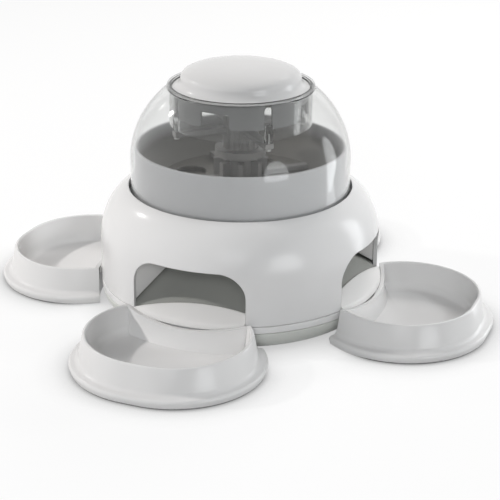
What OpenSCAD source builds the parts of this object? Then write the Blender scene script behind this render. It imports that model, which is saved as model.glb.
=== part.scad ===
// Dog puzzle feeder: a drum with four food outlets, a clear hopper dome with a
// paw button on top, and four loose bowls that stand round it.
// Millimetres, Z up, origin on the floor at the drum's axis.

/* [Base] */
// Radius of the foot at the floor
foot_r = 93.4; // [88:0.1:97]
// Height of the foot's top edge above the floor
foot_h = 16.8; // [14:0.1:22]
// Wall of the foot
foot_wall = 3; // [2:0.5:4]
// Thickness of the foot's bottom plate
foot_floor = 3; // [2.5:0.5:4]
// Step from the drum wall in to the foot's top edge
foot_step = 0.4; // [0.2:0.1:1]
// Radius of a rubber foot
pad_r = 7.8; // [6:0.1:9]
// Height that a rubber foot stands proud
pad_h = 1.2; // [0.8:0.1:2]
// Depth of the recess that holds a rubber foot
pad_seat = 1.2; // [0.8:0.1:1.6]
// Distance of the rubber feet from the axis
pad_out = 76; // [60:1:80]
// Height of the lower ring
ring_h = 6.2; // [5:0.1:9]
// Width of the lower ring across its section
ring_w = 10; // [8:0.5:12]
// Chamfer on the lower ring's outer edges
ring_chamfer = 0.6; // [0.3:0.1:1]
// Radius of a base screw's shank
base_screw_r = 1.75; // [1.5:0.05:2]
// Radius of a base screw's head
base_head_r = 3.5; // [3:0.1:4]
// Height of a base screw's head
base_head_h = 2.4; // [2:0.1:3]
// Length that a base screw reaches into its post
base_screw_in = 18; // [12:1:22]

/* [Drum] */
// Radius of the drum wall
drum_r = 110; // [106:1:116]
// Wall of the drum
drum_wall = 3; // [2.5:0.5:4]
// Height of the straight part of the wall
drum_side_h = 32; // [28:0.5:40]
// Height of the shoulder's curve
shoulder_h = 44.2; // [40:0.1:50]
// Distance inside the top opening at which the shoulder's curve would crown
shoulder_in = 9.8; // [6:0.1:13]
// Thickness of the seat ring inside the top opening
neck_t = 2.5; // [2:0.5:3.5]
// Depth of the hopper seat under the drum's rim
seat_drop = 10.2; // [9:0.1:12]
// Width of the seat ledge
ledge_w = 15.2; // [14:0.1:18]
// Thickness of the seat ledge
ledge_t = 3; // [2.5:0.5:4]
// Radius of a screw post inside the drum
post_r = 5; // [4.5:0.1:6]
// Distance of the screw posts from the axis
post_out = 84; // [80:0.5:86]
// Height of a screw post
post_h = 30; // [26:1:36]
// Thickness of the rib that ties a post to the wall
rib_t = 2.4; // [2:0.1:3]

/* [Outlets] */
// Width of an outlet window
window_w = 90.2; // [80:0.1:96]
// Height of an outlet window
window_h = 41.3; // [36:0.1:46]
// Corner radius at the top of a window
window_corner = 20; // [14:0.5:24]
// Slope of the chute cone
cone_deg = 30; // [26:0.5:32]
// Height of the cone's surface over the drum's lower edge, at the drum's radius
cone_lift = 2; // [1.5:0.1:3]
// Radius of the cone's flat top
cone_top_r = 30; // [26:1:36]
// Wall of the cone
cone_wall = 2.6; // [2:0.1:3.5]
// Reach of an outlet lip inside the drum's radius
lip_reach = 12.5; // [10:0.5:18]
// Turn of a lip's inner edge from square to its outlet
lip_skew = 6; // [0:0.5:8]
// Thickness of an outlet lip
lip_t = 1.6; // [1.2:0.1:2.2]
// Reach of the lip's nose beyond the drum
lip_nose = 2.3; // [1.6:0.1:2.3]
// Drop of the lip's nose below the drum's lower edge
lip_drop = 2; // [1:0.1:3]
// Thickness of a chute side wall
divider_t = 2; // [1.5:0.1:3]
// Angle of a side wall from the middle of its outlet
divider_deg = 25.4; // [25.2:0.1:28]
// Gap between the side walls and the cone
divider_gap = 2.1; // [2.1:0.1:3]
// Distance of the side walls' inner ends from the axis
divider_in = 42; // [38:1:50]
// Thickness of the plate that ties the side walls
divider_plate = 2.5; // [2:0.1:3]
// Reach of that plate inside the seat ledge
plate_w = 6; // [4:0.5:8]

/* [Hopper] */
// Gap between the hopper cup and the dome
cup_gap = 1.6; // [1.4:0.1:2.5]
// Wall of the cup
cup_wall = 2.4; // [2:0.1:3]
// Height of the cup above its seat
cup_h = 42.4; // [38:0.1:43]
// Height of the cup's floor above its seat
floor_rise = 14; // [12.8:0.1:18]
// Thickness of the cup's floor
floor_t = 3; // [2.5:0.1:3.5]
// Width of the funnel at the foot of the cup's wall
funnel_w = 17; // [10:0.5:19]
// Height of the funnel
funnel_h = 11; // [8:0.5:14]
// Height of the dome flange above the seat
flange_lift = 3; // [2:0.1:4]
// Thickness of the dome flange
flange_t = 2.5; // [2:0.1:3]
// Radius of a drop hole
drop_r = 12; // [9:0.5:13]
// Distance of the drop holes from the axis
drop_out = 42; // [36:0.5:44]
// Radius of a cup screw's shank
cup_screw_r = 1.7; // [1.4:0.05:1.9]
// Radius of a cup screw's head
cup_head_r = 3.4; // [3:0.1:4]
// Height of a cup screw's head
cup_head_h = 2.2; // [1.8:0.1:3]
// Length that a cup screw reaches into the cup
cup_screw_in = 8; // [6:0.5:9]
// Distance of a cup screw from the cup's inner wall
cup_screw_edge = 2.8; // [2.4:0.1:3.2]
// Radius of a screw boss under the cup's floor
cup_boss_r = 4.5; // [4:0.1:5]

/* [Rotor] */
// Radius of the spindle
spindle_r = 4; // [3.5:0.1:5]
// Wall of the spindle's bush
bush_wall = 2.5; // [2:0.1:3]
// Radius of the bush's flange
bush_flange_r = 9; // [8:0.1:10]
// Thickness of the bush's flange
bush_flange_t = 0.5; // [0.4:0.1:0.8]
// Radius of the thrust washer
washer_r = 12; // [10:0.5:14]
// Thickness of the thrust washer
washer_t = 0.7; // [0.5:0.1:1]
// Radius of the gate disc
gate_r = 58; // [57:0.5:62]
// Thickness of the gate disc
gate_t = 3; // [2:0.1:3.5]
// Radius of the gate disc's hub
gate_hub_r = 9; // [8:0.1:11]
// Height of the gate disc's hub
gate_hub_h = 3.7; // [3:0.1:5]
// Thickness of the retaining clip
clip_t = 0.9; // [0.7:0.1:1.2]
// Radius of the retaining clip
clip_r = 7.5; // [6.5:0.1:8.5]
// Depth of the clip's groove in the spindle
clip_groove = 0.8; // [0.5:0.1:1]
// Radius of the agitator's star
star_r = 21; // [19:0.1:26]
// Thickness of the star's base plate
star_t = 3; // [2.5:0.1:4]
// Number of vanes on the star
vane_count = 8; // [6:1:10]
// Thickness of a vane
vane_t = 4; // [3:0.1:5]
// Radius of the cam socket
socket_r = 13; // [12.2:0.1:14]
// Height of the cam socket above the base plate
socket_h = 15.4; // [15.2:0.1:18]
// Step from the vanes' tops up to the socket's top
vane_step = 2; // [1:0.1:4]
// Distance of a sweep arm's end from the axis
sweep_r = 57; // [50:0.5:58]
// Width of a sweep arm
sweep_w = 6; // [4:0.1:8]
// Height of a sweep arm
sweep_h = 4; // [3:0.1:6]

/* [Dome] */
// Radius of the dome
dome_r = 85.6; // [84:0.1:87]
// Wall of the dome
dome_wall = 2; // [1.6:0.1:2.6]
// Gap between the dome and the drum's top opening
dome_gap = 1.6; // [1:0.1:2.5]
// Height of the dome's straight side
dome_side_h = 24; // [21:0.1:30]
// Rise of the dome's curve, taken to its crown
dome_rise = 75; // [70:0.5:85]
// Height of the seal under the dome
seal_h = 1.5; // [1.2:0.1:2]
// Outer radius of the collar tube
collar_r = 54.7; // [54.4:0.1:58]
// Wall of the collar tube
collar_wall = 1.4; // [1.2:0.1:1.5]
// Depth of the collar tube below the dome's mouth
collar_h = 28.5; // [26:0.1:30]
// Overlap of the collar's rim on the dome
collar_rim = 1.6; // [1.2:0.1:2.5]
// Thickness of the collar's rim
collar_rim_t = 1.4; // [1.2:0.1:2]
// Width of a collar rib
rib_w = 5.4; // [4.5:0.1:6.5]
// Depth of a collar rib inside the tube
rib_in = 2.9; // [2.4:0.1:3.5]
// Radius of the spider's boss
boss_r = 20; // [17:0.1:23]
// Clearance between the cam socket and the spider's boss
boss_clear = 1; // [0.6:0.1:2]
// Height of the spider's boss
boss_h = 6; // [5:0.1:8]
// Radius of the fluted guide tube
tube_r = 14; // [13.6:0.1:14]
// Bore radius of the fluted guide tube
tube_bore_r = 11.8; // [11.6:0.1:12.2]
// Step from the tube's bore in to the rod bush
bush_step = 2.2; // [1.8:0.1:2.6]
// Height of the fluted guide tube above the boss
tube_h = 29; // [28:0.5:32]
// Number of flutes
flute_count = 16; // [10:1:20]
// Radius of a flute's cutter
flute_r = 1.3; // [1:0.1:1.6]
// Width of a spider arm
arm_w = 7; // [6:0.1:9]
// Thickness of a spider arm
arm_t = 4; // [3:0.1:5]
// Clearance between the arms and the pressed button's skirt
arm_clear = 0.5; // [0.4:0.1:1]
// Thickness of the rod bush and of the spring's seat
seat_t = 3; // [2.5:0.1:4]
// Radius of a spider screw's shank
spider_screw_r = 1; // [0.8:0.1:1.2]
// Radius of a spider screw's head
spider_head_r = 2.1; // [1.8:0.1:2.4]
// Height of a spider screw's head
spider_head_h = 1.5; // [1.2:0.1:2]
// Length that a spider screw reaches into a leg
spider_screw_in = 7; // [5:0.5:10]

/* [Button] */
// Radius of the cap's bulge
cap_r = 46.3; // [44:0.1:48]
// Height of the cap's bulge
cap_h = 10.5; // [8:0.1:14]
// Height of the bulge's foot over the dome's mouth
cap_lift = 6.4; // [5.5:0.1:8]
// Wall of the cap
cap_wall = 2.5; // [2:0.1:3]
// Wall of the screw boss inside the cap
cap_boss_wall = 3.5; // [3:0.1:4]
// Depth of the brim's underside below the dome's mouth
brim_drop = 2.5; // [2:0.1:4]
// Gap between the brim and the collar tube
brim_gap = 0.7; // [0.5:0.1:1.2]
// Roll of the brim's edge
brim_roll = 0.6; // [0.3:0.1:1]
// Thickness of the brim's edge
brim_t = 3; // [2.5:0.1:3.5]
// Travel of the button
travel = 10; // [8:0.5:10]
// Wall of the skirt under the cap
skirt_t = 2.2; // [1.8:0.1:2.6]
// Gap between the skirt and the collar tube
skirt_gap = 1.8; // [1.4:0.1:2]
// Height of the skirt
skirt_h = 18; // [16:0.1:18.4]
// Width of a skirt notch
notch_w = 22; // [16:0.5:26]
// Height of a skirt notch
notch_h = 12; // [9:0.5:13]
// Corner radius of a skirt notch
notch_corner = 3; // [2:0.5:4]
// Gap beside a collar rib in its slot
slot_gap = 0.5; // [0.4:0.1:0.8]
// Height of the skirt left above a slot
slot_top = 1; // [0.8:0.1:2]
// Radius of the plunger rod
rod_r = 7; // [6.6:0.1:7]
// Bore radius of the plunger rod
rod_bore_r = 4.4; // [4.2:0.1:4.6]
// Clearance under the rod at the end of its travel
rod_clear = 0.9; // [0.6:0.1:1.5]
// Land that the plunger screw clamps below the rod's flange
screw_land = 4; // [3:0.5:6]
// Thickness of the rod's top flange
rod_flange_t = 3; // [2.5:0.1:4]
// Depth of the rod's flange below the cap's top
rod_depth = 9.4; // [8.5:0.1:12]
// Gap between the sleeve and the fluted tube
sleeve_gap = 0.6; // [0.4:0.1:1]
// Wall of the sleeve inside the cap
sleeve_wall = 2.2; // [1.8:0.1:3]
// Overlap of the sleeve on the fluted tube when the button is up
sleeve_lap = 1; // [0.5:0.1:4]
// Radius of the cam pin
pin_r = 1.5; // [1.2:0.1:1.6]
// Distance from the rod's lower end to the cam pin's hole
pin_edge = 1.3; // [1:0.1:1.5]
// Reach of the cam pin from the axis
pin_out = 9.8; // [9.4:0.1:10]
// Radius of the plunger screw's shank
plunger_screw_r = 1.7; // [1.5:0.1:2]
// Radius of the plunger screw's head
plunger_head_r = 3.8; // [3.2:0.1:3.9]
// Height of the plunger screw's head
plunger_head_h = 3; // [2.5:0.1:4]
// Length that the plunger screw reaches into the cap
plunger_screw_in = 4; // [3:0.1:4.5]
// Wire diameter of the return spring
wire_d = 1.6; // [1.2:0.1:1.8]
// Radius of the return spring at its wire's middle
spring_r = 10; // [9.6:0.1:10.2]
// Number of turns in the return spring
spring_turns = 9; // [6:1:10]

/* [Bowls] */
// Distance from the drum wall out to a bowl's middle
bowl_out = 27.5; // [24:0.5:32]
// Gap between the drum wall and a bowl
bowl_gap = 2.6; // [2.6:0.1:4]
// Radius of a bowl's rim at its round ends
bowl_rim_r = 56.3; // [52:0.1:60]
// Half the distance between a bowl's two round ends
bowl_spread = 6.4; // [3:0.1:8]
// Height of a bowl's rim
bowl_h = 27; // [22:0.1:34]
// Wall of a bowl at its rim
bowl_wall = 3; // [2.4:0.1:4]
// Spread of a bowl's wall from its rim down to its flange
bowl_flare = 3.6; // [2:0.1:5]
// Spread of a bowl's flange beyond its wall
flange_w = 6.8; // [4:0.1:8]
// Height of a bowl's flange
flange_h = 7; // [5:0.1:9]
// Roll of the flange's edge
flange_roll = 2.1; // [1.5:0.1:3]
// Extra reach of the fillet between flange and wall
flange_fillet = 0.6; // [0.3:0.1:1]
// Height of a bowl's inner floor
bowl_floor = 5; // [4:0.1:7]
// Inner fillet at a bowl's floor
bowl_fillet = 7; // [4:0.5:9]
// Dip of the edge on a bowl's drum side
bowl_dip = 7; // [3:0.1:9]
// Half the width of the dip
dip_half_w = 53; // [46:0.5:56]
// Fillet width at the foot of a bowl's drum side
bite_fillet = 3.5; // [2:0.1:5]
// Radius of a bowl pad
bowl_pad_r = 6; // [5:0.1:8]
// Height that a bowl pad stands proud
bowl_pad_h = 1; // [0.6:0.1:1.6]
// Depth of a bowl pad's recess
bowl_pad_seat = 0.8; // [0.5:0.1:1.2]
// Distance of the pads from a bowl's middle
bowl_pad_out = 44; // [36:0.5:46]

/* [Fits] */
// Running clearance of a shaft in its bush
run_gap = 0.05; // [0.02:0.01:0.1]
// Clearance of a pressed piece
press_gap = 0.02; // [0.01:0.01:0.03]
// Clearance of a screw in its hole
screw_gap = 0.3; // [0.2:0.05:0.4]
// Clearance between pieces that pass each other
pass_gap = 0.3; // [0.25:0.05:0.4]
// Axial clearance between pieces that turn past each other
turn_gap = 0.1; // [0.05:0.05:0.2]
// Clearance of the cam pin in its groove
cam_gap = 0.4; // [0.35:0.05:0.5]

/* [Hidden] */
$fn = 96;
cut = 1;
sides = [0, 90, 180, 270];
corner_turn = 45;

// Levels of the base and drum
z_drum = foot_h + ring_h;
z_shoulder = z_drum + drum_side_h;
open_r = dome_r + dome_gap;
crown_r = open_r - shoulder_in;
shoulder_w = drum_r - crown_r;
rim_deg = acos(shoulder_in / shoulder_w);
z_rim = z_shoulder + shoulder_h * sin(rim_deg);
neck_r = open_r + neck_t;
lining_w = shoulder_w - drum_wall;
lining_h = shoulder_h - drum_wall;
open_deg = acos(shoulder_in / lining_w);
neck_deg = acos((neck_r - crown_r) / lining_w);
z_seat = z_rim - seat_drop;
ledge_r = open_r - ledge_w;
z_ledge = z_seat - ledge_t;
foot_top_r = drum_r - foot_step;

// Chute
cone_r = drum_r - drum_wall - pass_gap;
cone_drop = cone_wall / cos(cone_deg);
z_cone_top = cone_z(cone_top_r);
z_plate = z_ledge - divider_plate;
plate_in_r = ledge_r - plate_w;
lip_chord = drum_r - lip_reach;

// Hopper and rotor
cup_r = dome_r - dome_wall - cup_gap;
cup_bore_r = cup_r - cup_wall;
z_floor = z_seat + floor_rise;
z_under = z_floor - floor_t;
cup_screw_out = cup_bore_r - cup_screw_edge;
flange_r = open_r - pass_gap;
z_flange = z_seat + flange_lift + flange_t;
bush_r = spindle_r + run_gap + bush_wall;
z_gate = z_under - washer_t - turn_gap - gate_t;
z_hub = z_gate - gate_hub_h;
z_clip = z_hub - turn_gap - clip_t;
z_spindle = z_clip - clip_t;
z_star = z_floor + bush_flange_t + turn_gap;
z_star_top = z_star + star_t;
z_socket = z_star_top + socket_h;
socket_bore_r = rod_r + cam_gap;

// Dome and guide
z_dome = z_flange + seal_h;
z_spring_line = z_dome + dome_side_h;
mouth_r = collar_r + pass_gap;
z_mouth = z_spring_line + dome_rise * sqrt(1 - pow(mouth_r / dome_r, 2));
collar_in_r = collar_r - collar_wall;
z_collar = z_mouth - collar_h;
rib_r = collar_in_r - rib_in;
leg_mid_r = (rib_r + collar_r) / 2;
z_boss = z_socket + boss_clear;
z_boss_top = z_boss + boss_h;
z_tube_top = z_boss_top + tube_h;
z_spring_seat = z_boss + seat_t;
rod_bush_r = tube_bore_r - bush_step;

// Button
z_brim = z_mouth - brim_drop;
brim_r = collar_in_r - brim_gap;
z_bulge = z_mouth + cap_lift;
z_cap_top = z_bulge + cap_h;
z_rod_top = z_cap_top - rod_depth;
z_rod_flange = z_rod_top - rod_flange_t;
z_rod = z_star_top + travel + rod_clear;
z_pin = z_rod + pin_r + pin_edge;
z_screw_seat = z_rod_flange - screw_land;
skirt_r = collar_in_r - skirt_gap;
skirt_in_r = skirt_r - skirt_t;
z_skirt = z_brim - skirt_h;
z_arm_top = z_skirt - travel - arm_clear;
z_arm = z_arm_top - arm_t;
slot_w = rib_w + 2 * slot_gap;
z_rib_top = z_brim - travel - slot_top - slot_w / 2 - pass_gap;
sleeve_in_r = tube_r + sleeve_gap;
sleeve_r = sleeve_in_r + sleeve_wall;
z_sleeve = z_tube_top - sleeve_lap;
rod_flange_r = sleeve_in_r - pass_gap;
turn_deg = corner_turn;

// Bowls
bowl_d = drum_r + bowl_out;
bite_r = drum_r + bowl_gap;
bowl_base_r = bowl_rim_r + bowl_flare;
bowl_flange_r = bowl_base_r + flange_w;
bowl_pad_turns = [0, 110, 250];
dip_r = (pow(dip_half_w, 2) + pow(bowl_dip, 2)) / (2 * bowl_dip);

// Height of the chute cone's surface at a radius
function cone_z(r) = z_drum + cone_lift + (drum_r - r) * tan(cone_deg);

// Points along an elliptical arc
function arc(c, rx, ry, from, to, n = 14) =
    [for (i = [0:n]) let (a = from + (to - from) * i / n) c + [rx * cos(a), ry * sin(a)]];

// Points over a rounded crown, from its foot up to the axis
function crown(r, h, z, n = 16, power = 2.5) =
    [for (i = [0:n]) let (a = 90 * i / n)
        [i == n ? 0 : r * pow(cos(a), 2 / power), z + h * pow(sin(a), 2 / power)]];

module turned(points) {
    rotate_extrude() polygon(points);
}

module ring(outer, inner, low, high) {
    difference() {
        translate([0, 0, low]) cylinder(r = outer, h = high - low);
        translate([0, 0, low - cut]) cylinder(r = inner, h = high - low + 2 * cut);
    }
}

module at_sides() {
    for (a = sides) rotate(a) children();
}

module at_corners() {
    for (a = sides) rotate(a + corner_turn) children();
}

// Upright rod, placed at a distance from the axis
module rod_at(out, r, low, high) {
    translate([0, -out, low]) cylinder(r = r, h = high - low, $fn = 48);
}

// Screw that stands head down
module screw(out, shank_r, head_r, head_h, seat, tip) {
    rod_at(out, shank_r, seat - head_h / 2, tip);
    rod_at(out, head_r, seat - head_h, seat);
}

// Base

module base_foot() {
    rise = foot_h - pad_h;
    flare = foot_top_r - foot_r;
    color([0.63, 0.65, 0.62]) difference() {
        union() {
            turned(concat(
                [[0, pad_h]],
                arc([foot_r, foot_h], flare, rise, -90, 0),
                arc([foot_r - foot_wall, foot_h], flare, rise - foot_floor, 0, -90),
                [[0, pad_h + foot_floor]]));
            at_corners() rod_at(post_out, post_r, pad_h + foot_floor - cut, foot_h);
        }
        at_corners() rod_at(post_out, base_screw_r + screw_gap, 0, foot_h + cut);
        at_corners() rod_at(post_out, base_head_r + screw_gap, 0, pad_h + base_head_h);
        at_sides() rod_at(pad_out, pad_r + pass_gap, 0, pad_h + pad_seat);
    }
}

module rubber_feet() {
    color([0.25, 0.25, 0.25]) at_sides() rod_at(pad_out, pad_r, 0, pad_h + pad_seat);
}

module base_screws() {
    color("silver") at_corners()
        screw(post_out, base_screw_r, base_head_r, base_head_h, pad_h + base_head_h, foot_h + base_screw_in);
}

module lower_ring() {
    color([0.86, 0.86, 0.86]) turned([
        [drum_r - ring_w, foot_h], [drum_r - ring_chamfer, foot_h], [drum_r, foot_h + ring_chamfer],
        [drum_r, z_drum - ring_chamfer], [drum_r - ring_chamfer, z_drum], [drum_r - ring_w, z_drum]]);
}

// Drum

module window_outline() {
    flat_w = window_w - 2 * window_corner;
    translate([-window_w / 2, -cut]) square([window_w, window_h - window_corner + cut]);
    translate([-flat_w / 2, -cut]) square([flat_w, window_h + cut]);
    for (s = [-1, 1]) translate([s * flat_w / 2, window_h - window_corner]) circle(window_corner);
}

module window_cutter() {
    reach = 2 * drum_wall + drum_r - sqrt(pow(drum_r, 2) - pow(window_w / 2, 2));
    translate([0, -(drum_r - reach), z_drum]) rotate([90, 0, 0])
        linear_extrude(reach + cut) window_outline();
}

// Screw post and the rib that ties it to the drum wall, grown by a gap
module post(gap) {
    rod_at(post_out, post_r + gap, foot_h, foot_h + post_h + gap);
    translate([-rib_t / 2 - gap, -(drum_r - drum_wall / 2), z_drum])
        cube([rib_t + 2 * gap, drum_r - drum_wall / 2 - post_out, post_h - ring_h + gap]);
}

module drum_shell() {
    color([0.9, 0.9, 0.9]) difference() {
        union() {
            turned(concat(
                [[drum_r, z_drum]],
                arc([crown_r, z_shoulder], shoulder_w, shoulder_h, 0, rim_deg),
                arc([crown_r, z_shoulder], lining_w, lining_h, open_deg, 0),
                [[drum_r - drum_wall, z_drum]]));
            at_corners() post(0);
        }
        at_sides() window_cutter();
        at_corners() rod_at(post_out, base_screw_r + run_gap, foot_h - cut, foot_h + base_screw_in + cut);
    }
}

// Ring under the drum's rim, with the ledge that carries the hopper
module seat_ring() {
    top = z_shoulder - pass_gap / 2;
    color([0.88, 0.88, 0.88]) difference() {
        turned([
            [ledge_r, z_ledge], [neck_r, z_ledge], [neck_r, top + lining_h * sin(neck_deg)],
            [open_r, top + lining_h * sin(open_deg)], [open_r, z_seat], [ledge_r, z_seat]]);
        at_corners() rod_at(cup_screw_out, cup_screw_r + screw_gap, z_ledge - cut, z_seat + cut);
    }
}

// Outlets

module chute_cone() {
    skirt_bore = cone_r - cone_wall;
    color([0.3, 0.31, 0.3]) difference() {
        turned([
            [cone_r, z_drum], [cone_r, cone_z(cone_r)], [cone_top_r, z_cone_top], [0, z_cone_top],
            [0, z_cone_top - cone_wall],
            [cone_top_r - (cone_drop - cone_wall) / tan(cone_deg), z_cone_top - cone_wall],
            [skirt_bore, cone_z(skirt_bore) - cone_drop], [skirt_bore, z_drum]]);
        at_corners() post(pass_gap);
    }
}

module chute_dividers() {
    wall_out = drum_r - drum_wall - pass_gap;
    inner_w = lining_w - pass_gap;
    inner_h = lining_h - pass_gap;
    color([0.78, 0.78, 0.77]) {
        difference() {
            intersection() {
                union() {
                    ring(neck_r, plate_in_r, z_plate, z_ledge);
                    at_sides() for (s = [-1, 1]) rotate(s * divider_deg)
                        translate([s > 0 ? 0 : -divider_t, -wall_out, z_drum])
                            cube([divider_t, wall_out - divider_in, z_plate + divider_plate / 2 - z_drum]);
                }
                turned(concat(
                    [[0, z_drum], [wall_out, z_drum]],
                    arc([crown_r, z_shoulder], inner_w, inner_h, 0, neck_deg),
                    [[0, z_shoulder + inner_h * sin(neck_deg)]]));
            }
            turned([
                [0, 0], [drum_r, 0], [drum_r, cone_z(drum_r) + divider_gap],
                [cone_top_r, z_cone_top + divider_gap], [0, z_cone_top + divider_gap]]);
            at_corners() rod_at(cup_screw_out, cup_screw_r + screw_gap, z_plate - cut, z_ledge + cut);
        }
    }
}

module outlet_lip(turn, skew) {
    gap = pass_gap / 2;
    skirt = cone_r + gap;
    half_w = window_w / 2 - pass_gap;
    nose_r = drum_r + lip_nose;
    top = cone_z(drum_r) + gap + lip_t;
    color([0.88, 0.87, 0.86]) rotate(turn) intersection() {
        turned(concat(
            [[lip_chord - cut, cone_z(lip_chord - cut) + gap], [skirt, cone_z(skirt) + gap]],
            [[skirt, z_drum], [drum_r + gap, z_drum], [drum_r + gap, z_drum - lip_drop]],
            arc([drum_r - lip_t, z_drum - lip_drop], lip_nose + lip_t, top - z_drum + lip_drop, 0, 58, 6),
            [[lip_chord - cut, cone_z(lip_chord - cut) + gap + lip_t]]));
        translate([-half_w, -nose_r - cut, 0]) cube([2 * half_w, nose_r, z_rim]);
        translate([0, -lip_chord, 0]) rotate(skew)
            translate([-drum_r, -drum_r, 0]) cube([2 * drum_r, drum_r, z_rim]);
    }
}

// Hopper

module hopper_cup() {
    color([0.68, 0.69, 0.69]) difference() {
        union() {
            turned([
                [cup_r, z_seat], [cup_r, z_seat + cup_h], [cup_bore_r, z_seat + cup_h],
                [cup_bore_r, z_floor + funnel_h], [cup_bore_r - funnel_w, z_floor],
                [bush_r + press_gap, z_floor], [bush_r + press_gap, z_under],
                [cup_bore_r, z_under], [cup_bore_r, z_seat]]);
            ring(flange_r, cup_bore_r + cup_wall / 2, z_flange - flange_t, z_flange);
            at_corners() intersection() {
                rod_at(cup_screw_out, cup_boss_r, z_seat, z_under + floor_t / 2);
                translate([0, 0, z_seat]) cylinder(r = cup_r - cup_wall / 2, h = floor_rise);
            }
        }
        at_sides() rod_at(drop_out, drop_r, z_under - cut, z_floor + cut);
        at_corners() rod_at(cup_screw_out, cup_screw_r + run_gap, z_seat - cut, z_seat + cup_screw_in + cut);
    }
}

module cup_screws() {
    color("silver") at_corners()
        screw(cup_screw_out, cup_screw_r, cup_head_r, cup_head_h, z_plate, z_seat + cup_screw_in);
}

module spindle_bush() {
    bore = spindle_r + run_gap;
    color([0.75, 0.6, 0.35]) turned([
        [bore, z_under], [bush_r, z_under], [bush_r, z_floor], [bush_flange_r, z_floor],
        [bush_flange_r, z_floor + bush_flange_t], [bore, z_floor + bush_flange_t]]);
}

module thrust_washer() {
    color("gainsboro") ring(washer_r, spindle_r + pass_gap, z_under - washer_t, z_under);
}

// Rotor

module gate_disc() {
    color([0.55, 0.57, 0.57]) difference() {
        union() {
            translate([0, 0, z_gate]) cylinder(r = gate_r, h = gate_t);
            translate([0, 0, z_hub]) cylinder(r = gate_hub_r, h = gate_hub_h + gate_t / 2);
        }
        translate([0, 0, z_hub - cut]) cylinder(r = spindle_r + press_gap, h = gate_hub_h + gate_t + 2 * cut);
        at_corners() rod_at(drop_out, drop_r, z_gate - cut, z_gate + gate_t + cut);
    }
}

module rotor_spindle() {
    groove_r = spindle_r - clip_groove;
    color("silver") turned([
        [0, z_spindle], [spindle_r, z_spindle], [spindle_r, z_clip], [groove_r, z_clip],
        [groove_r, z_clip + clip_t + turn_gap], [spindle_r, z_clip + clip_t + turn_gap],
        [spindle_r, z_star_top], [0, z_star_top]]);
}

module spindle_clip() {
    opening = 2 * (spindle_r - clip_groove);
    color("dimgray") difference() {
        ring(clip_r, spindle_r - clip_groove + run_gap, z_clip, z_clip + clip_t);
        translate([-opening / 2, 0, z_clip - cut]) cube([opening, clip_r + cut, clip_t + 2 * cut]);
    }
}

// Track of the cam pin in the socket: straight up from rest, round and down for the stroke
module cam_track() {
    steps = 8;
    half_w = pin_r + cam_gap;
    reach = pin_out + cam_gap;
    for (side = [0, 180]) rotate(side) {
        for (i = [0:steps]) rotate(-turn_deg * i / steps)
            translate([0, 0, z_pin - travel * i / steps]) rotate([90, 0, 0])
                cylinder(r = half_w, h = reach, $fn = 32);
        translate([-half_w, -reach, z_pin]) cube([2 * half_w, reach, z_socket - z_pin + cut]);
    }
}

module agitator() {
    color([0.72, 0.72, 0.7]) difference() {
        union() {
            translate([0, 0, z_star]) cylinder(r = star_r, h = star_t);
            translate([0, 0, z_star]) cylinder(r = socket_r, h = star_t + socket_h);
            for (i = [0:vane_count - 1]) rotate(360 * (i + 0.5) / vane_count)
                translate([-vane_t / 2, -star_r, z_star + star_t / 2])
                    cube([vane_t, star_r - socket_bore_r - pin_r, star_t / 2 + socket_h - vane_step]);
            at_corners() translate([-sweep_w / 2, -sweep_r, z_star])
                cube([sweep_w, sweep_r - star_r / 2, sweep_h]);
        }
        translate([0, 0, z_star - cut]) cylinder(r = spindle_r + press_gap, h = star_t + 2 * cut);
        translate([0, 0, z_star_top]) cylinder(r = socket_bore_r, h = socket_h + cut);
        cam_track();
    }
}

// Dome

module dome_shell() {
    inner_r = dome_r - dome_wall;
    inner_rise = dome_rise - dome_wall;
    color([0.85, 0.87, 0.88, 0.35]) turned(concat(
        [[dome_r, z_dome]],
        arc([0, z_spring_line], dome_r, dome_rise, 0, acos(mouth_r / dome_r), 18),
        arc([0, z_spring_line], inner_r, inner_rise, acos(mouth_r / inner_r), 0, 18),
        [[inner_r, z_dome]]));
}

module dome_seal() {
    color([0.35, 0.35, 0.35]) ring(dome_r, dome_r - dome_wall, z_flange, z_dome);
}

module dome_collar() {
    color([0.85, 0.87, 0.88, 0.5]) difference() {
        union() {
            ring(collar_r, collar_in_r, z_collar, z_mouth + collar_rim_t);
            ring(mouth_r + collar_rim, collar_in_r, z_mouth, z_mouth + collar_rim_t);
            at_corners() intersection() {
                translate([-rib_w / 2, -collar_r, z_arm_top])
                    cube([rib_w, collar_r - rib_r, z_rib_top - z_arm_top]);
                translate([0, 0, z_arm_top])
                    cylinder(r = collar_r - collar_wall / 2, h = z_rib_top - z_arm_top);
            }
        }
        at_corners() rod_at(leg_mid_r, spider_screw_r + run_gap, z_arm_top - cut,
            z_arm_top + spider_screw_in + cut);
    }
}

module guide_spider() {
    color([0.7, 0.71, 0.72]) difference() {
        union() {
            translate([0, 0, z_boss]) cylinder(r = boss_r, h = boss_h);
            difference() {
                translate([0, 0, z_boss]) cylinder(r = tube_r, h = boss_h + tube_h);
                for (i = [0:flute_count - 1]) rotate(360 * i / flute_count)
                    rod_at(tube_r + flute_r / 3, flute_r, z_boss_top, z_tube_top + cut);
            }
            at_corners() intersection() {
                translate([-arm_w / 2, -collar_r, z_arm]) cube([arm_w, collar_r - tube_bore_r, arm_t]);
                translate([0, 0, z_arm]) cylinder(r = collar_r, h = arm_t);
            }
        }
        translate([0, 0, z_spring_seat]) cylinder(r = tube_bore_r, h = boss_h + tube_h);
        translate([0, 0, z_boss - cut]) cylinder(r = rod_bush_r + press_gap, h = seat_t + 2 * cut);
        at_corners() rod_at(leg_mid_r, spider_screw_r + screw_gap, z_arm - cut, z_arm_top + cut);
    }
}

module rod_bush() {
    color([0.75, 0.6, 0.35]) ring(rod_bush_r, rod_r + run_gap, z_boss, z_spring_seat);
}

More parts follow.
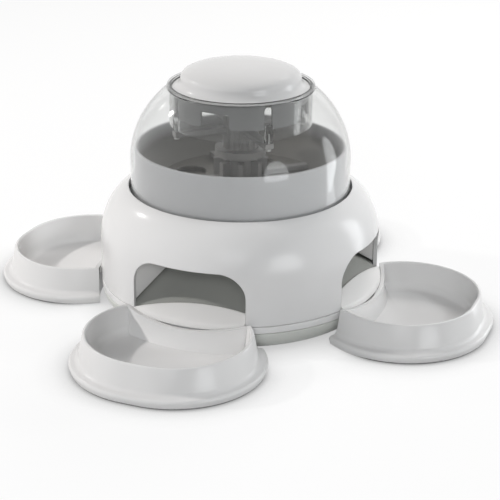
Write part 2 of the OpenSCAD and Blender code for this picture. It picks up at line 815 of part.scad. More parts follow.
module spider_screws() {
    color("silver") at_corners()
        screw(leg_mid_r, spider_screw_r, spider_head_r, spider_head_h, z_arm, z_arm_top + spider_screw_in);
}

// Button

module button_cap() {
    edge_z = z_brim + brim_t - brim_roll;
    bulge_in = cap_r - cap_wall;
    under_h = cap_h - cap_wall;
    boss = plunger_screw_r + cap_boss_wall;
    color([0.88, 0.88, 0.87]) difference() {
        union() {
            turned(concat(
                [[skirt_in_r, z_brim], [brim_r, z_brim], [brim_r, edge_z]],
                arc([brim_r, z_bulge], cap_r - brim_r, edge_z - z_bulge, 80, 10, 6),
                crown(cap_r, cap_h, z_bulge),
                [for (p = [15:-1:0]) crown(bulge_in, under_h, z_bulge)[p]]));
            ring(sleeve_r, sleeve_in_r, z_sleeve, z_bulge + under_h);
            translate([0, 0, z_rod_top]) cylinder(r = boss, h = z_cap_top - cap_wall / 2 - z_rod_top);
        }
        rod_at(0, plunger_screw_r + run_gap, z_rod_top - cut, z_rod_top + plunger_screw_in + screw_gap);
    }
}

// Outline of a skirt notch, with flared round corners at its foot
module notch_outline() {
    c = notch_corner;
    translate([-notch_w / 2, -cut]) square([notch_w, notch_h - c / 2 + cut]);
    translate([c / 2 - notch_w / 2, 0]) square([notch_w - c, notch_h]);
    for (s = [-1, 1]) translate([s * (notch_w - c) / 2, notch_h - c / 2]) circle(c / 2, $fn = 32);
    for (s = [-1, 1]) difference() {
        translate([s * (notch_w + c) / 2 - c / 2, -cut]) square([c, c + cut]);
        translate([s * (notch_w / 2 + c), c]) circle(c, $fn = 32);
    }
}

module cap_skirt() {
    slot_h = skirt_h - slot_top - slot_w / 2;
    color([0.82, 0.82, 0.82]) difference() {
        ring(skirt_r, skirt_in_r, z_skirt, z_brim);
        at_sides() translate([0, -skirt_in_r / 2, z_skirt]) rotate([90, 0, 0])
            linear_extrude(skirt_r) notch_outline();
        at_corners() {
            translate([-slot_w / 2, -skirt_r - cut, z_skirt - cut]) cube([slot_w, skirt_r / 2, slot_h + cut]);
            translate([0, -skirt_r / 2, z_skirt + slot_h]) rotate([90, 0, 0])
                cylinder(r = slot_w / 2, h = skirt_r);
        }
    }
}

module plunger_rod() {
    hole = plunger_screw_r + screw_gap;
    color([0.8, 0.8, 0.8]) difference() {
        turned([
            [rod_bore_r, z_rod], [rod_r, z_rod], [rod_r, z_rod_flange], [rod_flange_r, z_rod_flange],
            [rod_flange_r, z_rod_top], [hole, z_rod_top], [hole, z_screw_seat], [rod_bore_r, z_screw_seat]]);
        translate([0, rod_r + cut, z_pin]) rotate([90, 0, 0])
            cylinder(r = pin_r + press_gap, h = 2 * (rod_r + cut), $fn = 32);
    }
}

module cam_pin() {
    color("silver") translate([0, pin_out, z_pin]) rotate([90, 0, 0])
        cylinder(r = pin_r, h = 2 * pin_out, $fn = 32);
}

module plunger_screw() {
    color("silver")
        screw(0, plunger_screw_r, plunger_head_r, plunger_head_h, z_screw_seat, z_rod_top + plunger_screw_in);
}

// Wire of the return spring: a short upright end, the turns, and an upright end again
spring_steps = 8 * spring_turns;
spring_low = z_spring_seat + wire_d;
spring_high = z_rod_flange - wire_d;
spring_path = concat(
    [[spring_r, 0, z_spring_seat]],
    [for (i = [0:spring_steps]) let (a = 360 * spring_turns * i / spring_steps)
        [spring_r * cos(a), spring_r * sin(a), spring_low + (spring_high - spring_low) * i / spring_steps]],
    [[spring_r, 0, z_rod_flange]]);

function unit(v) = v / norm(v);

// Ring of points round a wire at one point of its path
function wire_ring(path, i, r, n) =
    let (
        last = len(path) - 1,
        t = i == 0 || i == last ? [0, 0, 1] : unit(path[i + 1] - path[i - 1]),
        out = unit([path[i][0], path[i][1], 0]),
        side = unit(cross(t, out)),
        face = cross(side, t))
    [for (k = [0:n - 1]) path[i] + r * (cos(360 * k / n) * face + sin(360 * k / n) * side)];

module wire(path, r, n = 6) {
    last = len(path) - 1;
    points = [for (i = [0:last]) each wire_ring(path, i, r, n)];
    tube = [for (i = [0:last - 1]) for (k = [0:n - 1]) let (a = i * n + k, b = i * n + (k + 1) % n)
        each [[a, a + n, b], [b, a + n, b + n]]];
    ends = [for (k = [1:n - 2]) each [[0, k, k + 1], [last * n, last * n + k + 1, last * n + k]]];
    polyhedron(points, concat(tube, ends));
}

// Least gap between one turn of the spring and the next
spring_gap = min([for (i = [0:len(spring_path) - 7]) for (j = [i + 6:len(spring_path) - 1])
    norm(spring_path[i] - spring_path[j])]) - wire_d;
echo(spring_gap = spring_gap);  // return_spring

module return_spring() {
    color("silver") wire(spring_path, wire_d / 2);
}

// Bowls

// Solid with two round ends, turned from one profile
module stadium(points) {
    for (s = [-1, 1]) translate([s * bowl_spread, 0, 0]) turned(points);
    translate([-bowl_spread, 0, 0]) rotate([90, 0, 90]) linear_extrude(2 * bowl_spread) {
        polygon(points);
        mirror([1, 0]) polygon(points);
    }
}

module bowl(turn) {
    low = bowl_pad_h;
    lip = flange_h / 2;
    shelf = bowl_flange_r - flange_roll;
    hollow_r = shelf - bowl_base_r + flange_fillet;
    bore = bowl_rim_r - bowl_wall;
    floor_r = bore - bowl_fillet - bowl_flare / 2;
    outer = concat(
        [[0, low], [bowl_flange_r - flange_roll / 2, low]],
        arc([shelf, low + lip], flange_roll, flange_h - low - lip, 0, 80, 5),
        arc([shelf, flange_h + flange_w / 2], hollow_r, flange_w / 2, 250, 190, 5),
        [[bowl_rim_r, bowl_h - bowl_wall / 3]],
        arc([bowl_rim_r - bowl_wall / 2, bowl_h - bowl_wall / 2], bowl_wall / 2, bowl_wall / 2, 30, 90, 4),
        [[0, bowl_h]]);
    hollow = concat(
        [[0, bowl_floor], [floor_r, bowl_floor]],
        arc([floor_r, bowl_floor + bowl_fillet], bowl_fillet, bowl_fillet, -75, 0, 5),
        [[bore, bowl_h], [bore, bowl_h + cut], [0, bowl_h + cut]]);
    wall_r = bite_r + bowl_wall;
    color([0.9, 0.89, 0.88]) rotate(turn) difference() {
        translate([0, -bowl_d, 0]) stadium(outer);
        difference() {
            translate([0, -bowl_d, 0]) stadium(hollow);
            cylinder(r = wall_r, h = bowl_h + 2 * cut, $fn = 180);
            translate([0, 0, bowl_floor - cut])
                cylinder(r1 = wall_r + bite_fillet, r2 = wall_r, h = 2 * bite_fillet + cut, $fn = 180);
        }
        translate([0, 0, -cut]) cylinder(r = bite_r, h = bowl_h + 2 * cut, $fn = 180);
        translate([0, -bite_r / 2, bowl_h - bowl_dip + dip_r]) rotate([90, 0, 0])
            cylinder(r = dip_r, h = bite_r / 2 + bowl_wall + pass_gap, $fn = 180);
        bowl_pad_places() cylinder(r = bowl_pad_r + pass_gap, h = bowl_pad_h + bowl_pad_seat, $fn = 48);
    }
}

// Three places under a bowl
module bowl_pad_places() {
    translate([0, -bowl_d, 0]) for (a = bowl_pad_turns) rotate(a) translate([0, -bowl_pad_out, 0]) children();
}

module bowl_pads(turn) {
    color([0.3, 0.3, 0.3]) rotate(turn) bowl_pad_places()
        cylinder(r = bowl_pad_r, h = bowl_pad_h + bowl_pad_seat, $fn = 48);
}

base_foot();
rubber_feet();
base_screws();
lower_ring();
drum_shell();
seat_ring();
chute_cone();
chute_dividers();
outlet_lip(0, lip_skew);  // outlet_lip_front
outlet_lip(90, -lip_skew);  // outlet_lip_right
outlet_lip(180, lip_skew);  // outlet_lip_back
outlet_lip(270, -lip_skew);  // outlet_lip_left
hopper_cup();
cup_screws();
spindle_bush();
thrust_washer();
gate_disc();
rotor_spindle();
spindle_clip();
agitator();
dome_shell();
dome_seal();
dome_collar();
guide_spider();
rod_bush();
spider_screws();
button_cap();
cap_skirt();
plunger_rod();
cam_pin();
plunger_screw();
return_spring();
bowl(0);  // bowl_front
bowl(90);  // bowl_right
bowl(180);  // bowl_back
bowl(270);  // bowl_left
bowl_pads(0);  // bowl_pads_front
bowl_pads(90);  // bowl_pads_right
bowl_pads(180);  // bowl_pads_back
bowl_pads(270);  // bowl_pads_left
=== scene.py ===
"""Studio scene of a dog puzzle feeder: treat drum, clear hopper dome, press button and four loose bowls."""

import logging
import math
from dataclasses import dataclass
from enum import Enum
from typing import Any, Sequence

import bmesh
import bpy
from mathutils import Matrix, Vector

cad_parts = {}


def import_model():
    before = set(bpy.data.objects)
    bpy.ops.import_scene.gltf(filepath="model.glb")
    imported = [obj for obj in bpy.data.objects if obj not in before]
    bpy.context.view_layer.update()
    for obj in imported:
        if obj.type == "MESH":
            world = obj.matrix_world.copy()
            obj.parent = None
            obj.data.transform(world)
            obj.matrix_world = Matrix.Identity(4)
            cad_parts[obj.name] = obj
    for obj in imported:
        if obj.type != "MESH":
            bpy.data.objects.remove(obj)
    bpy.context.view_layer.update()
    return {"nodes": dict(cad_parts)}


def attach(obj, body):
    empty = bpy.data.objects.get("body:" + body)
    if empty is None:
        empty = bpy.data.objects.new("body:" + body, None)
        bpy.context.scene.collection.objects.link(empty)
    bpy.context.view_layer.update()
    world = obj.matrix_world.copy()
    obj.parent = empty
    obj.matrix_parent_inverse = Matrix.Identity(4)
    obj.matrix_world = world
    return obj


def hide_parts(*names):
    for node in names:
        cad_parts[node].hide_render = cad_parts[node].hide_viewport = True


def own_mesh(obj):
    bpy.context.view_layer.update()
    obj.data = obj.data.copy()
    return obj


log = logging.getLogger("feeder")

Point = tuple[float, ...]
Colour = tuple[float, float, float]
Body = bmesh.types.BMesh
Ring = list[bmesh.types.BMEdge]
Piece = bpy.types.Object
Material = bpy.types.Material

MM = 0.001
DRUM_R = 110 * MM
TURN_STEPS = 160
FINE_STEPS = 256
CORNER_STEPS = 5
MERGE = 1e-7
UP = Vector((0.0, 0.0, 1.0))
WHITE: Colour = (1.0, 1.0, 1.0)
WARM: Colour = (1.0, 0.975, 0.96)
COOL: Colour = (0.965, 0.985, 1.0)


class Side(Enum):
    """The four sides of the feeder, each with its turn from the front in degrees."""

    FRONT = 0
    RIGHT = 90
    BACK = 180
    LEFT = 270

    @property
    def label(self) -> str:
        """Lower-case name of the side, as the bodies and nodes use it."""
        return self.name.lower()

    @property
    def turn(self) -> Matrix:
        """Rotation from the front to this side."""
        return Matrix.Rotation(math.radians(self.value), 4, "Z")

    @property
    def corner(self) -> Matrix:
        """Rotation from the front to halfway between this side and the next."""
        return Matrix.Rotation(math.radians(self.value + 45), 4, "Z")


class Cut(Enum):
    """Ways in which one solid changes another."""

    DIFFERENCE = "DIFFERENCE"
    UNION = "UNION"


# Shader building

class Wire:
    """One output socket, with arithmetic that adds Math nodes."""

    def __init__(self, bench: "Bench", socket: bpy.types.NodeSocket) -> None:
        """Holds the socket and the bench it belongs to."""
        self.bench = bench
        self.socket = socket

    def _math(self, operation: str, first: Any, second: Any) -> "Wire":
        """Adds one Math node on two wires or numbers and returns its result."""
        return self.bench.add("ShaderNodeMath", {"operation": operation}, {0: first, 1: second})

    def __add__(self, other: Any) -> "Wire":
        """self + other, in either order."""
        return self._math("ADD", self, other)

    __radd__ = __add__

    def __sub__(self, other: Any) -> "Wire":
        """self - other."""
        return self._math("SUBTRACT", self, other)

    def __rsub__(self, other: Any) -> "Wire":
        """other - self."""
        return self._math("SUBTRACT", other, self)

    def __mul__(self, other: Any) -> "Wire":
        """self * other, in either order."""
        return self._math("MULTIPLY", self, other)

    __rmul__ = __mul__

    def clamped(self) -> "Wire":
        """The value kept between 0 and 1."""
        return self.bench.add("ShaderNodeClamp", {}, {"Value": self})


class Bench:
    """Node tree of one material or world, filled through one method."""

    def __init__(self, tree: bpy.types.NodeTree) -> None:
        """Takes over the tree and empties it."""
        self.tree = tree
        tree.nodes.clear()

    def add(self, kind: str, settings: dict[str, Any], inputs: dict[Any, Any], output: Any = 0) -> Wire:
        """Adds a node, sets it up and links its inputs.

        Args:
            kind: Blender's node type.
            settings: the node's own attributes, which are set first.
            inputs: socket name or index to a wire or a plain value.
            output: name or index of the output to hand back.

        Returns:
            The chosen output as a wire.
        """
        node = self.tree.nodes.new(kind)
        for name, value in settings.items():
            setattr(node, name, value)
        for name, value in inputs.items():
            socket = node.inputs[name]
            if isinstance(value, Wire):
                self.tree.links.new(value.socket, socket)
            else:
                socket.default_value = value
        return Wire(self, node.outputs[output]) if len(node.outputs) else Wire(self, None)

    def noise(self, place: Wire, scale: float, detail: float = 3.0) -> Wire:
        """Noise from 0 to 1 at coordinates, with its features per metre and its octaves."""
        return self.add("ShaderNodeTexNoise", {}, {"Vector": place, "Scale": scale, "Detail": detail}, "Fac")

    def between(self, mask: Wire, low: Colour | Wire, high: Colour | Wire) -> Wire:
        """Colour between two, low where the mask is 0 and high where it is 1."""
        ends = [end if isinstance(end, Wire) else (*end, 1.0) for end in (low, high)]
        return self.add("ShaderNodeMix", {"data_type": "RGBA"}, {0: mask, 6: ends[0], 7: ends[1]}, 2)

    def reach(self, place: Wire) -> Wire:
        """Distance of the coordinates from the upright axis."""
        flat = self.add("ShaderNodeVectorMath", {"operation": "MULTIPLY"}, {0: place, 1: (1.0, 1.0, 0.0)})
        return self.add("ShaderNodeVectorMath", {"operation": "LENGTH"}, {0: flat}, "Value")

    def bump(self, height: Wire, strength: float, distance: float, base: Wire | None = None) -> Wire:
        """Normal bent by a height.

        Args:
            height: height value.
            strength: share of the effect.
            distance: depth in metres.
            base: normal to start from, the surface's own if left out.

        Returns:
            The bent normal.
        """
        inputs = {"Strength": strength, "Distance": distance, "Height": height}
        if base is not None:
            inputs["Normal"] = base
        return self.add("ShaderNodeBump", {}, inputs)


def toned(colour: Colour, share: float) -> Colour:
    """A colour made lighter or darker by a share, at most white."""
    return tuple(min(1.0, channel * share) for channel in colour)


def new_material(name: str) -> tuple[Material, Bench, Wire]:
    """Makes an empty node material.

    Args:
        name: the material's name.

    Returns:
        The material, its bench and the Object coordinates.
    """
    material = bpy.data.materials.new(name)
    material.use_nodes = True
    bench = Bench(material.node_tree)
    return material, bench, bench.add("ShaderNodeTexCoord", {}, {}, "Object")


@dataclass(frozen=True)
class MouldedPlastic:
    """Moulded plastic with fine grain, faint colour drift and light handling marks, and optional painted
    shade: a darker colour inside a radius that fades out upwards.
    """

    name: str
    colour: Colour
    roughness: float = 0.34
    grain: float = 0.05
    grain_scale: float = 1600.0
    drift: float = 0.03
    coat: float = 0.0
    specular: float = 0.45
    wear: float = 0.045
    edge: float = 0.8 * MM
    edge_samples: int = 6
    # Painted shade: a darker colour inside the given radius, full below the lower height and gone above the
    # upper one.
    painted_shade: Colour | None = None
    painted_shade_r: float = 0.0
    painted_shade_heights: tuple[float, float] = (0.0, 1.0)
    cloud_scale: float = 22.0
    cloud_share: float = 0.7
    mark_scale: float = 140.0
    grain_depth: float = 0.4 * MM
    coat_roughness: float = 0.12

    def _tint(self, bench: Bench, shade: Wire, colour: Colour) -> Wire:
        """One colour with its drift."""
        return bench.between(shade, toned(colour, 1.0 - self.drift), toned(colour, 1.0 + self.drift))

    def make(self) -> Material:
        """Builds the material and returns it."""
        material, bench, place = new_material(self.name)
        cloud = bench.noise(place, self.cloud_scale)
        marks = bench.noise(place, self.mark_scale, detail=5.0)
        grain = bench.noise(place, self.grain_scale, detail=2.0)
        shade = (cloud * self.cloud_share + grain * (1.0 - self.cloud_share)).clamped()
        colour = self._tint(bench, shade, self.colour)
        # Painted shade: inside the radius the colour darkens towards the bottom, standing in for the shade
        # inside the piece.
        if self.painted_shade:
            low, high = self.painted_shade_heights
            height = bench.add("ShaderNodeSeparateXYZ", {}, {0: place}, "Z")
            painted_shade_mask = bench.add("ShaderNodeMapRange", {"interpolation_type": "SMOOTHSTEP"},
                             {"Value": height, "From Min": low, "From Max": high})
            inner = bench.between(painted_shade_mask, self._tint(bench, shade, self.painted_shade), colour)
            outside = bench.add("ShaderNodeMath", {"operation": "GREATER_THAN"},
                                {0: bench.reach(place), 1: self.painted_shade_r})
            colour = bench.between(outside, inner, colour)
        rough = (marks - 0.5) * self.wear + self.roughness
        rounded = bench.add("ShaderNodeBevel", {"samples": self.edge_samples}, {"Radius": self.edge})
        surface = bench.add("ShaderNodeBsdfPrincipled", {}, {
            "Base Color": colour, "Roughness": rough, "Specular IOR Level": self.specular,
            "Coat Weight": self.coat, "Coat Roughness": self.coat_roughness,
            "Normal": bench.bump(grain, self.grain, self.grain_depth, rounded)})
        bench.add("ShaderNodeOutputMaterial", {}, {"Surface": surface})
        return material


@dataclass(frozen=True)
class ClearPlastic:
    """Clear moulded plastic with faint waves and a little surface haze."""

    name: str
    colour: Colour = (0.97, 0.975, 0.97)
    roughness: float = 0.02
    ior: float = 1.45
    depth: float = 30.0
    wave_scale: float = 30.0
    wave_strength: float = 0.04
    wave_depth: float = 1.0 * MM
    smear_scale: float = 75.0
    smear_tone: float = 0.985
    smear_roughness: float = 0.03
    shadow_tone: float = 0.92
    body: Colour = (0.5, 0.5, 0.5)

    def make(self) -> Material:
        """Builds the material and returns it."""
        material, bench, place = new_material(self.name)
        waves = bench.noise(place, self.wave_scale, detail=1.0)
        smears = bench.noise(place, self.smear_scale, detail=4.0)
        colour = bench.between(smears, toned(self.colour, self.smear_tone), self.colour)
        clear = bench.add("ShaderNodeBsdfPrincipled", {}, {
            "Base Color": colour, "Roughness": smears * self.smear_roughness + self.roughness,
            "IOR": self.ior, "Transmission Weight": 1.0,
            "Normal": bench.bump(waves, self.wave_strength, self.wave_depth)})
        lamps = bench.add("ShaderNodeLightPath", {}, {}, "Is Shadow Ray")
        shade = toned(self.colour, self.shadow_tone)
        through = bench.add("ShaderNodeBsdfTransparent", {}, {"Color": (*shade, 1.0)})
        lit = bench.add("ShaderNodeMixShader", {}, {0: lamps, 1: clear, 2: through})
        absorbed = {"Color": (*self.body, 1.0), "Density": self.depth}
        body = bench.add("ShaderNodeVolumeAbsorption", {}, absorbed)
        bench.add("ShaderNodeOutputMaterial", {}, {"Surface": lit, "Volume": body})
        return material


@dataclass(frozen=True)
class DrawnMetal:
    """Turned or drawn metal with fine lines round the axis."""

    name: str
    colour: Colour
    roughness: float = 0.3
    line_scale: Point = (40.0, 40.0, 3000.0)
    line_roughness: float = 0.16
    line_strength: float = 0.08
    line_depth: float = 0.2 * MM
    stain_scale: float = 260.0
    stain_tones: tuple[float, float] = (0.88, 1.08)

    def make(self) -> Material:
        """Builds the material and returns it."""
        material, bench, place = new_material(self.name)
        along = bench.add("ShaderNodeMapping", {}, {"Vector": place, "Scale": self.line_scale})
        lines = bench.noise(along, 1.0)
        stains = bench.noise(place, self.stain_scale)
        colour = bench.between(stains, *(toned(self.colour, tone) for tone in self.stain_tones))
        surface = bench.add("ShaderNodeBsdfPrincipled", {}, {
            "Base Color": colour, "Metallic": 1.0, "Roughness": lines * self.line_roughness + self.roughness,
            "Normal": bench.bump(lines, self.line_strength, self.line_depth)})
        bench.add("ShaderNodeOutputMaterial", {}, {"Surface": surface})
        return material


@dataclass(frozen=True)
class SoftRubber:
    """Matte rubber with a pebbled skin and dust in its pores."""

    name: str
    colour: Colour = (0.035, 0.035, 0.036)
    roughness: float = 0.65
    pebble_scale: float = 900.0
    pebble_strength: float = 0.2
    pebble_depth: float = 0.4 * MM
    dust_scale: float = 320.0
    dust_share: float = 0.6
    dust_tone: float = 2.6
    dust_roughness: float = 0.2

    def make(self) -> Material:
        """Builds the material and returns it."""
        material, bench, place = new_material(self.name)
        skin = {"Vector": place, "Scale": self.pebble_scale}
        pebbles = bench.add("ShaderNodeTexVoronoi", {}, skin, "Distance")
        dust = bench.noise(place, self.dust_scale, detail=4.0)
        colour = bench.between(dust * self.dust_share, self.colour, toned(self.colour, self.dust_tone))
        surface = bench.add("ShaderNodeBsdfPrincipled", {}, {
            "Base Color": colour, "Roughness": dust * self.dust_roughness + self.roughness,
            "Normal": bench.bump(pebbles, self.pebble_strength, self.pebble_depth)})
        bench.add("ShaderNodeOutputMaterial", {}, {"Surface": surface})
        return material


class Finishes:
    """Every finish of the feeder, made once."""

    def __init__(self) -> None:
        """Makes the materials."""
        self.white = MouldedPlastic("white_shell", (0.8, 0.797, 0.794), 0.22, 0.02, coat=0.12).make()
        self.bowl = MouldedPlastic("bowl_white", (0.8, 0.795, 0.79), 0.22, 0.015).make()
        self.pale = MouldedPlastic("pale_inner", (0.79, 0.782, 0.77), 0.45, 0.06).make()
        self.foot = MouldedPlastic("foot_grey", (0.66, 0.675, 0.64), 0.48, 0.07).make()
        # The chute cone's dark colour is painted shade, standing for the shade deep inside the outlets behind
        # the pale lips.
        self.dark = MouldedPlastic("chute_painted_shade", (0.33, 0.335, 0.315), 0.5, 0.1, 900.0).make()
        # The hopper cup's inside is painted shade: below the rim it darkens to a near-black grey, standing in
        # for the shade inside the cup.
        self.grey = MouldedPlastic("hopper_grey", (0.4, 0.4, 0.41), 0.38, 0.05, painted_shade=(0.12, 0.115, 0.105),
                                   painted_shade_r=80.8 * MM, painted_shade_heights=(112 * MM, 134 * MM)).make()
        self.cap = MouldedPlastic("cap_white", (0.7, 0.697, 0.694), 0.2, 0.015, coat=0.12).make()
        # The skirt's inside is painted shade: below the cap it turns near black, standing in for the shade
        # under the cap.
        self.skirt = MouldedPlastic("skirt_grey", (0.27, 0.27, 0.275), 0.4, 0.05, painted_shade=(0.07, 0.07, 0.068),
                                    painted_shade_r=50.2 * MM, painted_shade_heights=(170 * MM, 180 * MM)).make()
        self.guide = MouldedPlastic("guide_grey", (0.2, 0.195, 0.19), 0.3, 0.05).make()
        self.clear = ClearPlastic("clear_dome", roughness=0.05, ior=1.38, depth=36.0).make()
        self.smoke = ClearPlastic("clear_collar", (0.93, 0.935, 0.93), roughness=0.03, depth=200.0).make()
        self.rubber = SoftRubber("foot_rubber").make()
        self.steel = DrawnMetal("screw_steel", (0.58, 0.58, 0.57)).make()
        self.brass = DrawnMetal("bush_brass", (0.62, 0.47, 0.24), 0.34).make()


# Mesh building

def arc(centre: Point, rx: float, rz: float, start: float, end: float, steps: int = 18) -> list[Point]:
    """Points along an elliptical arc of half width rx and half height rz, between angles in degrees."""
    angles = [math.radians(start + (end - start) * i / steps) for i in range(steps + 1)]
    return [(centre[0] + rx * math.cos(a), centre[1] + rz * math.sin(a)) for a in angles]


def crown(radius: float, rise: float, foot: float, power: float = 2.5, steps: int = 30) -> list[Point]:
    """Points over a rounded crown, from its foot up to the axis.

    Args:
        radius: radius at the foot.
        rise: height of the crown.
        foot: height of the foot.
        power: squareness of the curve, 2 is an ellipse.
        steps: number of steps.

    Returns:
        The points, the last one on the axis.
    """
    found = []
    for i in range(steps + 1):
        a = math.pi / 2 * i / steps
        radius_here = 0.0 if i == steps else radius * math.cos(a) ** (2 / power)
        found.append((radius_here, foot + rise * math.sin(a) ** (2 / power)))
    return found


def turned(profile: Sequence[Point], closed: bool, steps: int = TURN_STEPS) -> Body:
    """Spins a profile round the Z axis.

    Args:
        profile: radius and height of each point, and the rounding of a corner as a third value.
        closed: whether the last point joins the first.
        steps: steps in the full turn.

    Returns:
        The closed body.
    """
    bm = bmesh.new()
    verts = [bm.verts.new((p[0], 0.0, p[1])) for p in profile]
    pairs = list(zip(verts, verts[1:]))
    if closed:
        pairs.append((verts[-1], verts[0]))
    for pair in pairs:
        bm.edges.new(pair)
    for vert, point in zip(verts, profile):
        if len(point) > 2:
            bmesh.ops.bevel(bm, geom=[vert], offset=point[2], offset_type="OFFSET", affect="VERTICES",
                            segments=CORNER_STEPS, profile=0.5, material=-1)
    bmesh.ops.spin(bm, geom=list(bm.verts) + list(bm.edges), cent=(0, 0, 0), axis=UP, angle=math.tau,
                   steps=steps, use_merge=True)
    bmesh.ops.remove_doubles(bm, verts=bm.verts, dist=MERGE)
    bmesh.ops.recalc_face_normals(bm, faces=bm.faces)
    return bm


def boxed(low: Sequence[float], high: Sequence[float]) -> Body:
    """A box between two corners.

    Args:
        low: lowest corner.
        high: highest corner.

    Returns:
        The box.
    """
    bm = bmesh.new()
    bmesh.ops.create_cube(bm, size=1.0)
    low_v, high_v = Vector(low), Vector(high)
    bmesh.ops.scale(bm, vec=high_v - low_v, verts=bm.verts)
    bmesh.ops.translate(bm, vec=(low_v + high_v) / 2, verts=bm.verts)
    return bm


def drilled(radius: float, low: float, high: float, sides: int = 64) -> Body:
    """An upright cylinder on the axis.

    Args:
        radius: its radius.
        low: bottom height.
        high: top height.
        sides: sides round the axis.

    Returns:
        The closed body.
    """
    bm = bmesh.new()
    bmesh.ops.create_cone(bm, cap_ends=True, segments=sides, radius1=radius, radius2=radius, depth=high - low)
    bmesh.ops.translate(bm, vec=(0, 0, (low + high) / 2), verts=bm.verts)
    return bm


def moved(bm: Body, matrix: Matrix) -> Body:
    """The same body after a transform."""
    bmesh.ops.transform(bm, matrix=matrix, verts=bm.verts)
    return bm


def set_out(bm: Body, out: float, turn: Matrix) -> Body:
    """The same body moved from the axis out to the front, and turned to its side."""
    return moved(moved(bm, Matrix.Translation((0, -out, 0))), turn)


def capped(bm: Body) -> Body:
    """The same body with its open ends closed."""
    bmesh.ops.holes_fill(bm, edges=[e for e in bm.edges if e.is_boundary], sides=0)
    bmesh.ops.recalc_face_normals(bm, faces=bm.faces)
    return bm


def as_object(bm: Body, name: str) -> Piece:
    """Turns a bmesh into a linked object at the origin.

    Args:
        bm: the body, freed here.
        name: the object's name.

    Returns:
        The object.
    """
    mesh = bpy.data.meshes.new(name)
    bm.to_mesh(mesh)
    bm.free()
    made = bpy.data.objects.new(name, mesh)
    bpy.context.scene.collection.objects.link(made)
    return made


def taken(solid: Piece) -> Body:
    """The body of an object that is then thrown away."""
    mesh = solid.data
    bm = bmesh.new()
    bm.from_mesh(mesh)
    bpy.data.objects.remove(solid)
    bpy.data.meshes.remove(mesh)
    return bm


def carve(solid: Piece, tool: Body, way: Cut = Cut.DIFFERENCE) -> None:
    """Applies a boolean with a body that is then thrown away.

    Args:
        solid: the object to change.
        tool: the other body.
        way: difference or union.
    """
    other = as_object(tool, "tool")
    step = solid.modifiers.new("carve", "BOOLEAN")
    step.object, step.operation, step.solver = other, way.value, "EXACT"
    bpy.context.view_layer.update()
    shape = bpy.data.meshes.new_from_object(solid.evaluated_get(bpy.context.evaluated_depsgraph_get()))
    solid.modifiers.clear()
    old, spent = solid.data, other.data
    solid.data = shape
    shape.name = solid.name
    bpy.data.objects.remove(other)
    for mesh in (old, spent):
        bpy.data.meshes.remove(mesh)


def smoothed(solid: Piece, angle: float = 30.0) -> Piece:
    """Smooths the shading of a piece, apart from its sharp edges.

    Args:
        solid: the piece.
        angle: edges sharper than this, in degrees, stay crisp.

    Returns:
        The piece.
    """
    for polygon in solid.data.polygons:
        polygon.use_smooth = True
    solid.data.set_sharp_from_angle(angle=math.radians(angle))
    return solid


@dataclass
class Dresser:
    """Hands pieces over to the frame and reports them."""

    finishes: Finishes
    nodes: dict[str, Piece]

    def piece(self, solid: Piece, body: str, material: Material, replaced: str) -> Piece:
        """Finishes a new piece.

        Args:
            solid: the piece.
            body: the body it rides on.
            material: its finish.
            replaced: the CAD node that it stands for.

        Returns:
            The piece.
        """
        solid.data.materials.clear()
        solid.data.materials.append(material)
        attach(solid, body)
        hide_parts(replaced)
        log.info("piece %s on %s: %d faces", solid.name, body, len(solid.data.polygons))
        return solid

    def repaint(self, material: Material, *names: str) -> None:
        """Gives CAD nodes a finish.

        Args:
            material: the finish.
            names: the nodes.
        """
        for name in names:
            node = self.nodes[name]
            if not node.material_slots:
                node.data.materials.append(material)
            for slot in node.material_slots:
                slot.material = material
            log.info("node %s painted %s", name, material.name)


# The feeder

@dataclass
class Base:
    """Foot and lower ring of the drum."""

    drum_r: float = DRUM_R
    foot_r: float = 93.4 * MM
    foot_h: float = 16.8 * MM
    foot_step: float = 0.4 * MM
    foot_wall: float = 3 * MM
    foot_floor: float = 3 * MM
    pad_h: float = 1.2 * MM
    ring_h: float = 6.2 * MM
    ring_w: float = 10 * MM
    groove_h: float = 0.6 * MM
    groove_d: float = 1.4 * MM
    edge: float = 0.5 * MM
    groove_edge: float = 0.25 * MM

    @property
    def top(self) -> float:
        """Height of the ring's top."""
        return self.foot_h + self.ring_h

    def foot(self) -> Piece:
        """Builds the foot as a curved pan and returns it."""
        top_r = self.drum_r - self.foot_step
        flare, rise = top_r - self.foot_r, self.foot_h - self.pad_h
        profile = [(0.0, self.pad_h)]
        profile += arc((self.foot_r, self.foot_h), flare, rise, -90, -3)
        profile += [(top_r, self.foot_h, self.edge), (top_r - self.foot_wall, self.foot_h, self.edge)]
        profile += arc((self.foot_r - self.foot_wall, self.foot_h), flare, rise - self.foot_floor, -3, -90)
        profile += [(0.0, self.pad_h + self.foot_floor)]
        return smoothed(as_object(turned(profile, False), "foot_pan"))

    def ring(self) -> Piece:
        """Builds the lower ring with a parting groove above and below it and returns it."""
        low, high = self.foot_h, self.top
        inner, step = self.drum_r - self.ring_w, self.drum_r - self.groove_d
        below, above = low + self.groove_h, high - self.groove_h
        profile = [(inner, low), (step, low), (step, below), (self.drum_r, below, self.groove_edge),
                   (self.drum_r, above, self.groove_edge), (step, above), (step, high), (inner, high)]
        return smoothed(as_object(turned(profile, True), "parting_ring"))

    def dress(self, dresser: Dresser) -> None:
        """Builds and hands over the pieces.

        Args:
            dresser: takes the pieces and paints the nodes.
        """
        finishes = dresser.finishes
        dresser.piece(self.foot(), "base", finishes.foot, "base_foot")
        dresser.piece(self.ring(), "base", finishes.white, "lower_ring")
        dresser.repaint(finishes.rubber, "rubber_feet")
        dresser.repaint(finishes.steel, "base_screws")


